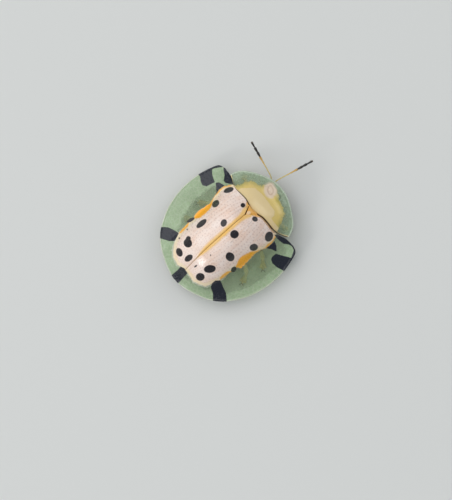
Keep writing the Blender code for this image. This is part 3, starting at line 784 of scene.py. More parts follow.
        # The pale rim line and the disc edge's pale flecks are painted highlights
        colour = self.painted(tree, mixed.outputs[2], [
            (glow, 0.35, self.straw), (masks[Mark.SEAM], 0.85, self.seam), (hem, 0.6, self.edge),
            (masks[Mark.RIM], 0.6, self.edge), (masks[Mark.SPOT], 1.0, self.spot), (masks[Mark.BAND], 1.0, self.band),
        ])

        # How much of the film hides what is below: milky clouds and a band near the rim, partly a painted sky
        # reflection, then the net, the painted highlights and the opaque parts
        span = {"Value": cloud, "From Min": 0.4, "From Max": 0.7, "To Min": 0.24, "To Max": 0.46}
        haze_and_reflection = add("ShaderNodeMapRange", span)
        film = add("ShaderNodeMath", {0: masks[Mark.MILK], 1: self.milk_share, 2: haze_and_reflection}, operation="MULTIPLY_ADD")
        netted = add("ShaderNodeMath", {0: lines, 1: 0.1, 2: film}, operation="MULTIPLY_ADD")
        rim = add("ShaderNodeMath", {0: masks[Mark.RIM], 1: 0.75}, operation="MULTIPLY")
        solid_marks = (Mark.STREAK, Mark.DISC, Mark.SPOT, Mark.BAND)
        opacity = self.highest(tree, [netted, hem, rim, *[masks[mark] for mark in solid_marks]])

        dents = add("ShaderNodeMath", {0: pit, 1: -1.0, 2: lines}, operation="MULTIPLY_ADD")
        lumps = add("ShaderNodeTexNoise", {"Vector": place, "Scale": 1 / (0.4 * MM), "Detail": 1.5})
        raised = add("ShaderNodeMath", {0: lumps, 1: masks[Mark.BAND]}, operation="MULTIPLY")
        coarse = add("ShaderNodeMath", {0: raised, 1: 6.0, 2: dents}, operation="MULTIPLY_ADD")
        relief = add("ShaderNodeMath", {0: fine, 1: 0.45, 2: coarse}, operation="MULTIPLY_ADD")
        bump = add("ShaderNodeBump", {"Strength": 0.4, "Distance": 0.03 * MM, "Height": relief})
        span = {"Value": fine, "From Min": 0.3, "From Max": 0.7, "To Min": 0.2, "To Max": 0.36}
        solid = add("ShaderNodeBsdfPrincipled", {
            "Base Color": colour, "Roughness": add("ShaderNodeMapRange", span), "IOR": CHITIN_IOR,
            "Specular IOR Level": 0.35, "Coat Weight": 0.35, "Coat Roughness": 0.1, "Normal": bump,
        })
        return self.glazed(tree, opacity, solid, self.glass)


@dataclass(frozen=True)
class WingLining(Finish):
    """The same chitin from below: a dull brown lining under the disc, and the clear film of the brim."""

    name: str = "beetle cuticle, brown lining"
    lining: str = "#9A7448"
    dark: str = "#5E4128"
    band: str = "#14161C"
    glass: str = "#DFE8DA"

    def shader(self, tree: Tree) -> Node:
        """Wires the lining, which is solid under the disc and the bands alone.

        Args:
            tree: The material's tree.

        Returns:
            The shader node.
        """
        add = partial(add_node, tree)
        place = add("ShaderNodeTexCoord").outputs["Object"]
        cloud = add("ShaderNodeTexNoise", {"Vector": place, "Scale": 1 / (0.5 * MM), "Detail": 4.0})
        masks = []
        for mark in (Mark.DISC, Mark.BAND):
            distance = add("ShaderNodeAttribute", attribute_name=mark.value)
            span = {"Value": distance.outputs["Fac"], "From Min": 0.0, "From Max": -0.16, "To Min": 0.03}
            masks.append(add("ShaderNodeMapRange", span, interpolation_type="SMOOTHSTEP"))
        opacity = self.highest(tree, masks)
        colour = self.painted(tree, self.lining, [(cloud, 1.0, self.dark), (masks[1], 1.0, self.band)])
        bump = add("ShaderNodeBump", {"Strength": 0.3, "Distance": 0.03 * MM, "Height": cloud})
        solid = add("ShaderNodeBsdfPrincipled", {
            "Base Color": colour, "Roughness": 0.45, "IOR": CHITIN_IOR, "Normal": bump,
        })
        return self.glazed(tree, opacity, solid, self.glass)


@dataclass(frozen=True)
class ShieldCuticle(Finish):
    """Chitin of the shield: waxy yellow where the fore body lies right below it, clear and milky in front.

    The eye sees a satin yellow pane, palest on a plateau where the body touches it and under a painted highlight,
    with an olive fringe, a clear, crinkled margin, and a fine dark line along the back.
    """

    name: str = "beetle cuticle, yellow and clear"
    pale: str = "#F2D7A0"
    yellow: str = "#E4C768"
    olive: str = "#ADA24C"
    # The head's blush, painted lighter than the shaded head below so that the window reads as lit
    blush: str = "#F8E0CC"
    ring: str = "#C09A72"
    milk: str = "#A2B596"
    glass: str = "#F1F6EA"
    # Pale green-grey of the painted highlight along the front rim
    edge: str = "#D9E3CE"
    line: str = "#4A3010"
    piping: str = "#F6E2A6"

    def shader(self, tree: Tree) -> Node:
        """Wires the pane, its olive fringe, the clear front and the two lines along the back.

        Args:
            tree: The material's tree.

        Returns:
            The shader node.
        """
        add = partial(add_node, tree)
        place = add("ShaderNodeTexCoord").outputs["Object"]
        wobble = add("ShaderNodeTexNoise", {"Vector": place, "Scale": 1 / (0.32 * MM), "Detail": 4.0})
        cloud = add("ShaderNodeTexNoise", {"Vector": place, "Scale": 1 / (1.3 * MM), "Detail": 2.0})
        fine = add("ShaderNodeTexNoise", {"Vector": place, "Scale": 1 / (0.14 * MM), "Detail": 3.0})
        spans = {
            "pane": (0.12, -0.12, 0.5), "fringe": (0.0, -0.55, 0.4), "plateau": (0.05, -0.05, 0.14),
            "window": (0.1, -0.25, 0.3), "ring": (0.06, 0.0, 0.06), "rim": (0.05, 0.0, 0.0),
            "hind": (0.1, 0.055, 0.0), "piping": (0.2, 0.12, 0.03),
        }
        source = {"fringe": "pane", "piping": "hind"}
        masks = {
            name: self.mask(tree, source.get(name, name), wobble, sway, low, high)
            for name, (low, high, sway) in spans.items()
        }
        blend = add("ShaderNodeMapRange", {"Value": cloud, "From Min": 0.35, "From Max": 0.65})
        # The plateau is painted palest: partly where the fore body lies under the pane, partly a painted highlight on
        # the dome
        pane = self.painted(
            tree, self.olive,
            [(masks["fringe"], 1.0, self.yellow), (blend, 0.25, self.pale), (masks["plateau"], 0.9, self.pale)],
        )
        mixed = add("ShaderNodeMix", {0: masks["pane"], 6: linear(self.milk), 7: pane}, data_type="RGBA")
        # The window is painted a pale blush that stands in for light on the shaded head below it
        colour = self.painted(tree, mixed.outputs[2], [
            (masks["window"], 0.85, self.blush), (masks["ring"], 0.4, self.ring), (masks["piping"], 0.9, self.piping),
            # The pale line along the front rim is a painted highlight
            (masks["hind"], 1.0, self.line), (masks["rim"], 0.7, self.edge),
        ])

        # The clear front is milkiest in ragged patches near its rim
        veil = add("ShaderNodeAttribute", attribute_name="veil")
        span = {"Value": wobble, "From Min": 0.3, "From Max": 0.7, "To Min": 0.55, "To Max": 1.35}
        mottle = add("ShaderNodeMapRange", span)
        shares = [add("ShaderNodeMath", {0: veil.outputs["Fac"], 1: mottle}, operation="MULTIPLY")]
        away = add("ShaderNodeMath", {0: masks["window"], 1: -0.2, 2: 1.0}, operation="MULTIPLY_ADD")
        pane = add("ShaderNodeMath", {0: masks["pane"], 1: away}, operation="MULTIPLY")
        for mask, share in ((pane, 0.97), (masks["rim"], 0.7), (masks["piping"], 0.9), (masks["hind"], 1.0)):
            shares.append(add("ShaderNodeMath", {0: mask, 1: share}, operation="MULTIPLY"))
        edge = add("ShaderNodeMath", {0: masks["pane"], 1: -1.0, 2: 1.0}, operation="MULTIPLY_ADD")
        rough = add("ShaderNodeMath", {0: wobble, 1: edge}, operation="MULTIPLY")
        relief = add("ShaderNodeMath", {0: rough, 1: 5.0, 2: fine}, operation="MULTIPLY_ADD")
        stepped = add("ShaderNodeMath", {0: masks["plateau"], 1: 2.0, 2: relief}, operation="MULTIPLY_ADD")
        bump = add("ShaderNodeBump", {"Strength": 0.35, "Distance": 0.03 * MM, "Height": stepped})
        solid = add("ShaderNodeBsdfPrincipled", {
            "Base Color": colour, "Roughness": 0.28, "IOR": CHITIN_IOR, "Coat Weight": 0.5, "Coat Roughness": 0.12,
            "Normal": bump,
        })
        return self.glazed(tree, self.highest(tree, shares), solid, self.glass)


@dataclass(frozen=True)
class Cuticle(Finish):
    """Plain chitin of the body, legs, head and mouthparts: satin, pitted and a little darker in its hollows."""

    name: str = "beetle cuticle, ochre"
    light: str = "#D39B45"
    dark: str = "#9A6626"
    pit: str = "#6E4416"
    tinge: str = "#8A5A24"
    cloud_size: float = 0.7
    pit_size: float = 0.13
    pit_depth: float = 0.5
    gloss: float = 0.32

    def shader(self, tree: Tree) -> Node:
        """Wires clouded colour over fine pits, and the tinge where the piece's "tinge" attribute says.

        Args:
            tree: The material's tree.

        Returns:
            The shader node.
        """
        add = partial(add_node, tree)
        place = add("ShaderNodeTexCoord").outputs["Object"]
        cloud = add("ShaderNodeTexNoise", {"Vector": place, "Scale": 1 / (self.cloud_size * MM), "Detail": 4.0})
        blend = add("ShaderNodeMapRange", {"Value": cloud, "From Min": 0.35, "From Max": 0.68})
        cells = add("ShaderNodeTexVoronoi", {"Vector": place, "Scale": 1 / (self.pit_size * MM)})
        pit = add(
            "ShaderNodeMapRange", {"Value": cells.outputs["Distance"], "From Min": 0.3, "From Max": 0.1},
            interpolation_type="SMOOTHSTEP",
        )
        tinge = add("ShaderNodeAttribute", attribute_name="tinge").outputs["Fac"]
        layers = [(blend, 1.0, self.dark), (tinge, 1.0, self.tinge), (pit, self.pit_depth, self.pit)]
        colour = self.painted(tree, self.light, layers)
        relief = add("ShaderNodeMath", {0: cloud, 1: pit}, operation="SUBTRACT")
        bump = add("ShaderNodeBump", {"Strength": 0.45, "Distance": 0.02 * MM, "Height": relief})
        return add("ShaderNodeBsdfPrincipled", {
            "Base Color": colour, "Roughness": self.gloss, "IOR": CHITIN_IOR, "Coat Weight": 0.25,
            "Coat Roughness": 0.2, "Normal": bump,
        })


@dataclass(frozen=True)
class EyeCornea(Finish):
    """A compound eye's cornea: near-black and glossy, with six-sided facets.

    A real facet is about 0.02 mm across. They are drawn 0.055 mm wide so that they show.
    """

    name: str = "compound eye cornea"
    black: str = "#0E0B0A"
    brown: str = "#2C1C14"
    facet: float = 0.055

    def shader(self, tree: Tree) -> Node:
        """Wires the facets.

        Args:
            tree: The material's tree.

        Returns:
            The shader node.
        """
        add = partial(add_node, tree)
        place = add("ShaderNodeTexCoord").outputs["Object"]
        cells = add(
            "ShaderNodeTexVoronoi", {"Vector": place, "Scale": 1 / (self.facet * MM), "Randomness": 0.25},
            feature="DISTANCE_TO_EDGE",
        )
        groove = add("ShaderNodeMapRange", {"Value": cells, "From Min": 0.0, "From Max": 0.25})
        colour = self.painted(tree, self.brown, [(groove, 1.0, self.black)])
        bump = add("ShaderNodeBump", {"Strength": 0.6, "Distance": 0.01 * MM, "Height": groove})
        return add("ShaderNodeBsdfPrincipled", {
            "Base Color": colour, "Roughness": 0.2, "IOR": 1.5, "Coat Weight": 1.0, "Coat Roughness": 0.06,
            "Normal": bump,
        })


@dataclass(frozen=True)
class FeelerCuticle(Finish):
    """Chitin of the feelers: pale yellow joints that redden towards a velvety black club with a lighter tip."""

    name: str = "beetle cuticle, feeler"
    stops: tuple[tuple[float, str], ...] = (
        (0.0, "#E2D28C"), (0.42, "#DFC86E"), (0.56, "#DDB45C"), (0.665, "#CB9C48"), (0.685, "#241B12"),
        (0.8, "#1A1613"), (0.97, "#17130F"), (1.0, "#54452F"),
    )

    def shader(self, tree: Tree) -> Node:
        """Wires the colours along the feeler.

        Args:
            tree: The material's tree.

        Returns:
            The shader node.
        """
        add = partial(add_node, tree)
        place = add("ShaderNodeTexCoord").outputs["Object"]
        along = add("ShaderNodeAttribute", attribute_name="along")
        ramp = add("ShaderNodeValToRGB", {0: along.outputs["Fac"]})
        stops = ramp.color_ramp.elements
        while len(stops) < len(self.stops):
            stops.new(0.5)
        for stop, (position, colour) in zip(stops, self.stops):
            stop.position = position
            stop.color = linear(colour)
        fine = add("ShaderNodeTexNoise", {"Vector": place, "Scale": 1 / (0.06 * MM), "Detail": 3.0})
        shade = add("ShaderNodeMapRange", {
            "Value": fine, "From Min": 0.3, "From Max": 0.7, "To Min": 0.78, "To Max": 1.0,
        })
        colour = add(
            "ShaderNodeMix", {0: 1.0, 6: ramp.outputs["Color"], 7: shade}, data_type="RGBA", blend_type="MULTIPLY"
        ).outputs[2]
        bump = add("ShaderNodeBump", {"Strength": 0.4, "Distance": 0.01 * MM, "Height": fine})
        return add("ShaderNodeBsdfPrincipled", {
            "Base Color": colour, "Roughness": 0.42, "IOR": CHITIN_IOR, "Normal": bump,
        })


@dataclass(frozen=True)
class Bristle(Finish):
    """Hair of the beetle: fine, stiff and pale gold, which catches the light along its length."""

    name: str = "beetle hair"
    root: str = "#A87838"
    tip: str = "#E9CF92"

    def shader(self, tree: Tree) -> Node:
        """Wires a hair whose gold is uneven along it.

        Args:
            tree: The material's tree.

        Returns:
            The shader node.
        """
        place = add_node(tree, "ShaderNodeTexCoord").outputs["Object"]
        noise = add_node(tree, "ShaderNodeTexNoise", {"Vector": place, "Scale": 1 / (0.2 * MM)})
        colour = self.painted(tree, self.root, [(noise, 1.0, self.tip)])
        return add_node(tree, "ShaderNodeBsdfPrincipled", {"Base Color": colour, "Roughness": 0.38, "IOR": 1.55})


@dataclass(frozen=True)
class StudioPaper(Finish):
    """Matt background paper, pale grey, with hardly any grain."""

    name: str = "studio paper"
    colour: str = "#D9D9D4"

    def shader(self, tree: Tree) -> Node:
        """Wires the paper.

        Args:
            tree: The material's tree.

        Returns:
            The shader node.
        """
        add = partial(add_node, tree)
        place = add("ShaderNodeTexCoord").outputs["Object"]
        grain = add("ShaderNodeTexNoise", {"Vector": place, "Scale": 400.0, "Detail": 3.0})
        bump = add("ShaderNodeBump", {"Strength": 0.03, "Distance": 0.05 * MM, "Height": grain})
        return add("ShaderNodeBsdfPrincipled", {
            "Base Color": linear(self.colour), "Roughness": 0.9, "Specular IOR Level": 0.2, "Normal": bump,
        })


class NodeTool:
    """A Geometry Nodes tree with named inputs, run once on a piece and turned to a plain mesh."""

    title = "tool"
    sockets: tuple[tuple[str, str, float | int], ...] = ()

    def __init__(self, finish: Material) -> None:
        """Builds the tree.

        Args:
            finish: The material of what the tree makes.
        """
        self.tree = bpy.data.node_groups.new(self.title, "GeometryNodeTree")
        self.tree.interface.new_socket("Geometry", in_out="INPUT", socket_type="NodeSocketGeometry")
        self.tree.interface.new_socket("Geometry", in_out="OUTPUT", socket_type="NodeSocketGeometry")
        self.names = {}
        for name, kind, value in self.sockets:
            made = self.tree.interface.new_socket(name, in_out="INPUT", socket_type=kind)
            made.default_value = value
            self.names[name] = made.identifier
        start = add_node(self.tree, "NodeGroupInput")
        shown = add_node(self.tree, "GeometryNodeRealizeInstances", {"Geometry": self.wire(start)})
        dressed = add_node(self.tree, "GeometryNodeSetMaterial", {"Geometry": shown, "Material": finish})
        add_node(self.tree, "NodeGroupOutput", {0: dressed})

    def wire(self, start: Node) -> Node:
        """Wires the tree's own part and returns its last node."""
        raise NotImplementedError

    def made(self, name: str, host: Skin, sizes: dict[str, float | int]) -> Piece:
        """Runs the tree on a skin.

        Args:
            name: The new piece's name.
            host: The skin, or the bare points, that the tree reads.
            sizes: Values for the named inputs.

        Returns:
            A piece with a plain mesh and no modifier.
        """
        carrier = host.piece(f"{name}_host", [])
        modifier = carrier.modifiers.new(self.title, "NODES")
        modifier.node_group = self.tree
        for label, value in sizes.items():
            modifier[self.names[label]] = value
        graph = bpy.context.evaluated_depsgraph_get()
        mesh = bpy.data.meshes.new_from_object(carrier.evaluated_get(graph))
        carrier.modifiers.remove(modifier)
        bpy.data.objects.remove(carrier, do_unlink=True)
        mesh.name = name
        mesh.shade_smooth()
        return linked(name, mesh)


class HairCoat(NodeTool):
    """Scatters tapering hairs over the parts of a skin that its "hair" attribute names."""

    title = "hair coat"
    patch = 0.003
    sockets = (
        ("Per Square Metre", "NodeSocketFloat", 2e7), ("Length", "NodeSocketFloat", 0.2 * MM),
        ("Radius", "NodeSocketFloat", 0.008 * MM), ("Lean Down", "NodeSocketFloat", 0.5),
        ("Seed", "NodeSocketInt", 1),
    )

    def wire(self, start: Node) -> Node:
        """Wires the scatter: points by density, a hair on each, leaning down from the face's normal.

        Args:
            start: The tree's group input.

        Returns:
            The node that gives the hairs.
        """
        add = partial(add_node, self.tree)
        where = add("GeometryNodeInputNamedAttribute", {"Name": "hair"}, data_type="FLOAT")
        amount = add("ShaderNodeMath", {0: where, 1: start.outputs["Per Square Metre"]}, operation="MULTIPLY")
        spots = add("GeometryNodeDistributePointsOnFaces", {
            "Mesh": start.outputs["Geometry"], "Density": amount, "Seed": start.outputs["Seed"],
        })
        lean = add("ShaderNodeMath", {0: start.outputs["Lean Down"], 1: -1.0}, operation="MULTIPLY")
        down = add("ShaderNodeCombineXYZ", {"Z": lean})
        ahead = add("ShaderNodeVectorMath", {0: spots.outputs["Normal"], 1: down}, operation="ADD")
        turn = add("FunctionNodeAlignRotationToVector", {"Vector": ahead}, axis="Z")
        hair = add("GeometryNodeMeshCone", {
            "Vertices": 4, "Radius Bottom": start.outputs["Radius"], "Depth": start.outputs["Length"],
        })
        size = add("FunctionNodeRandomValue", {2: 0.55, 3: 1.1, "Seed": start.outputs["Seed"]}, data_type="FLOAT")
        return add("GeometryNodeInstanceOnPoints", {
            "Points": spots, "Instance": hair, "Rotation": turn, "Scale": size.outputs[1],
        })

    def made(self, name: str, host: Skin, sizes: dict[str, float | int]) -> Piece:
        """Grows the hairs, and gives each a small patch at its root's place on the skin's own unwrap.

        Args:
            name: The coat's name.
            host: The skin, with its unwrap and its hair's share.
            sizes: Values for the named inputs.

        Returns:
            The coat.
        """
        obj = super().made(name, host, sizes)
        mesh = obj.data
        roots = np.empty((2, len(mesh.vertices)), np.float32)
        for row, mark in zip(roots, ("wrap_u", "wrap_v")):
            mesh.attributes[mark].data.foreach_get("value", row)
        spread = np.array([(0, 0), (1, 1), (-1, 1), (-1, -1), (1, -1)]) * self.patch / 2
        places = np.clip(roots.T, self.patch, 1 - self.patch) + spread[np.arange(len(mesh.vertices)) % len(spread)]
        write_uv(mesh, "OFBake", places)
        return obj


class JointRow(NodeTool):
    """Sets a row of joints along a limb: one flared bead for each point, as long and thick as the point says.

    Points carry the attributes length, radius and the three parts of their direction, all in millimetres.
    """

    title = "joint row"
    sockets = (("Sides", "NodeSocketInt", 16), ("Rings", "NodeSocketInt", 9), ("Neck", "NodeSocketFloat", 0.55))

    def wire(self, start: Node) -> Node:
        """Wires one joint of unit length and radius, and puts it on every point.

        Args:
            start: The tree's group input.

        Returns:
            The node that gives the joints.
        """
        add = partial(add_node, self.tree)
        line = add("GeometryNodeCurvePrimitiveLine", {"Start": (0.0, 0.0, 0.0), "End": (0.0, 0.0, 1.0)})
        rings = add("GeometryNodeResampleCurve", {"Curve": line, "Count": start.outputs["Rings"]})
        share = add("GeometryNodeSplineParameter")
        swell = add("ShaderNodeFloatCurve", {"Value": share.outputs["Factor"]})
        curve = swell.mapping.curves[0]
        for place, height in ((0.12, 0.5), (0.6, 0.9), (0.86, 1.0)):
            curve.points.new(place, height)
        curve.points[0].location = (0.0, 0.28)
        curve.points[-1].location = (1.0, 0.52)
        swell.mapping.update()
        thick = add("ShaderNodeMapRange", {
            "Value": swell, "From Min": 0.28, "From Max": 1.0, "To Min": start.outputs["Neck"], "To Max": 1.0,
        })
        circle = add("GeometryNodeCurvePrimitiveCircle", {"Resolution": start.outputs["Sides"], "Radius": 1.0})
        joint = add("GeometryNodeCurveToMesh", {
            "Curve": rings, "Profile Curve": circle, "Scale": thick, "Fill Caps": True,
        })
        read = {
            name: add("GeometryNodeInputNamedAttribute", {"Name": name}, data_type="FLOAT")
            for name in ("length", "radius", "ahead_x", "ahead_y", "ahead_z")
        }
        ahead = add("ShaderNodeCombineXYZ", {"X": read["ahead_x"], "Y": read["ahead_y"], "Z": read["ahead_z"]})
        turn = add("FunctionNodeAlignRotationToVector", {"Vector": ahead}, axis="Z")
        size = add("ShaderNodeCombineXYZ", {"X": read["radius"], "Y": read["radius"], "Z": read["length"]})
        metres = add("ShaderNodeVectorMath", {0: size, "Scale": MM}, operation="SCALE")
        return add("GeometryNodeInstanceOnPoints", {
            "Points": start.outputs["Geometry"], "Instance": joint, "Rotation": turn, "Scale": metres,
        })


@dataclass(frozen=True)
class Blot:
    """One black spot: its middle, its half length and half width, and its long axis's turn from +X in degrees."""

    x: float
    y: float
    long: float
    wide: float
    turn: float = 0.0

    def distance(self, places: Array) -> Array:
        """Signed distance from places to the spot's edge, close enough near it.

        Args:
            places: Points seen from above, one a row.

        Returns:
            One distance for each place.
        """
        angle = math.radians(self.turn)
        dx, dy = places[:, 0] - self.x, places[:, 1] - self.y
        along = (dx * math.cos(angle) + dy * math.sin(angle)) / self.long
        across = (dy * math.cos(angle) - dx * math.sin(angle)) / self.wide
        return (np.hypot(along, across) - 1) * math.sqrt(self.long * self.wide)


@dataclass(frozen=True)
class Markings:
    """Where one wing cover is marked. The two sides of a beetle differ a little."""

    spots: tuple[Blot, ...]
    bands: tuple[Outline, ...]
    disc: Outline
    streak: Outline
    # How far in from the rim the milky band reaches, a painted reflection of the sky
    milk_width: float


LEFT_MARKINGS = Markings(
    spots=(
        Blot(-3.16, 2.92, 0.52, 0.29, 65), Blot(-0.97, 2.96, 0.24, 0.24), Blot(-2.97, 1.05, 0.42, 0.35, 102),
        Blot(-0.85, 0.37, 0.38, 0.31, 118), Blot(-2.35, -1.31, 0.62, 0.30, 88), Blot(-3.47, -1.89, 0.45, 0.17, 78),
        Blot(-2.95, -2.77, 0.09, 0.07), Blot(-2.82, -3.94, 0.10, 0.08), Blot(-1.8, -3.6, 0.48, 0.42),
        Blot(-2.1, -3.28, 0.27, 0.26), Blot(-1.72, -4.85, 0.46, 0.32, -13), Blot(-0.63, -4.52, 0.46, 0.30, 81),
    ),
    bands=(
        [
            (-6.7, 1.72), (-6.6, 2.54), (-6.3, 3.35), (-5.63, 2.79), (-5.2, 2.57), (-4.76, 2.43), (-4.9, 2.01),
            (-5.02, 1.5), (-5.4, 1.29), (-5.89, 1.45), (-6.17, 1.67),
        ],
        [
            (-5.6, 4.3), (-4.81, 4.3), (-4.38, 4.2), (-3.9, 4.0), (-3.26, 3.66), (-3.56, 3.47), (-4.0, 3.15),
            (-4.31, 3.19), (-4.66, 3.61), (-5.13, 3.88),
        ],
        [(-4.66, 2.45), (-4.49, 2.73), (-3.82, 2.93), (-3.88, 2.6), (-3.9, 2.23), (-3.72, 1.74)],
        [(-5.4, 4.1), (-5.6, 3.8), (-5.88, 3.34), (-6.06, 2.8), (-6.6, 2.8), (-6.3, 3.5), (-5.9, 4.2)],
        [
            (-5.3, -4.85), (-5.02, -4.62), (-4.46, -4.06), (-3.91, -3.83), (-3.28, -3.67), (-3.14, -3.94),
            (-2.95, -4.5), (-3.33, -4.88), (-4.16, -5.4), (-4.5, -5.7),
        ],
        [(-0.6, -5.69), (-0.22, -5.53), (0.36, -5.61), (0.39, -6.27), (0.44, -7.2), (-0.64, -7.2), (-0.59, -6.17)],
    ),
    disc=[
        (0.5, 3.9), (-3.07, 3.9), (-3.57, 3.32), (-3.86, 2.8), (-3.9, 2.23), (-3.79, 1.83), (-3.62, 1.15),
        (-3.42, 0.5), (-3.56, -0.51), (-3.45, -1.56), (-3.45, -2.29), (-3.41, -2.94), (-3.3, -3.63), (-2.9, -4.54),
        (-2.37, -5.23), (-1.81, -5.64), (-1.0, -5.87), (-0.55, -5.72), (0, -5.6), (0.5, -5.6),
    ],
    streak=[
        (-3.4, -1.56), (-2.93, -1.01), (-2.93, -0.24), (-3.02, 0.37), (-3.34, 0.76), (-3.53, 0.38), (-3.64, -0.6),
        (-3.59, -1.33),
    ],
    milk_width=1.8,
)

RIGHT_MARKINGS = Markings(
    spots=(
        Blot(0.84, 2.95, 0.29, 0.25, 22), Blot(2.99, 2.88, 0.51, 0.38, 112), Blot(0.68, 0.44, 0.43, 0.41, 60),
        Blot(2.81, 1.03, 0.42, 0.32, 68), Blot(2.02, -1.35, 0.45, 0.42), Blot(3.11, -1.90, 0.33, 0.22, 91),
        Blot(0.65, -2.69, 0.08, 0.06), Blot(1.58, -3.65, 0.60, 0.38, 57), Blot(1.50, -4.89, 0.44, 0.38, 49),
        Blot(0.43, -4.53, 0.18, 0.08, 84),
    ),
    bands=(
        [
            (2.72, -4.49), (2.72, -4.02), (3.03, -3.62), (3.72, -3.86), (4.33, -4.03), (5.2, -4.7), (4.3, -5.75),
            (3.45, -5.04), (2.89, -4.81),
        ],
        [(4.66, 1.72), (4.63, 2.29), (5.13, 2.61), (6.4, 3.5), (6.7, 1.86), (5.72, 1.47), (5.13, 1.39), (4.8, 1.53)],
        [
            (3.14, 3.4), (3.62, 3.92), (4.18, 4.3), (4.65, 4.4), (5.22, 4.4), (5.8, 4.1), (5.54, 3.88),
            (5.11, 4.0), (4.76, 3.85), (4.38, 3.5), (3.76, 3.37),
        ],
        [(3.62, 3.03), (4.14, 2.85), (4.54, 2.49), (4.07, 2.25), (3.6, 1.91), (3.66, 2.46)],
        [(5.4, 4.1), (5.6, 3.8), (5.88, 3.34), (6.06, 2.8), (6.2, 2.3), (6.7, 2.3), (6.3, 3.5), (5.9, 4.2)],
        [(-0.6, -5.69), (-0.22, -5.53), (0.36, -5.61), (0.39, -6.27), (0.44, -7.2), (-0.64, -7.2), (-0.59, -6.17)],
    ),
    disc=[
        (-0.5, -5.58), (0.31, -5.62), (1.35, -5.72), (1.97, -5.52), (2.55, -5.12), (2.76, -4.53), (3.03, -3.62),
        (3.12, -2.4), (3.24, -1.66), (3.29, -0.56), (3.3, 0.57), (3.42, 1.31), (3.62, 1.89), (3.65, 2.63),
        (3.6, 3.09), (3.1, 3.9), (-0.5, 3.9),
    ],
    streak=[
        (3.31, -1.49), (3.01, -1.59), (2.77, -0.52), (2.89, 0.13), (3.15, 0.72), (3.35, 0.46), (3.46, -0.71),
        (3.46, -1.32),
    ],
    milk_width=0.85,
)


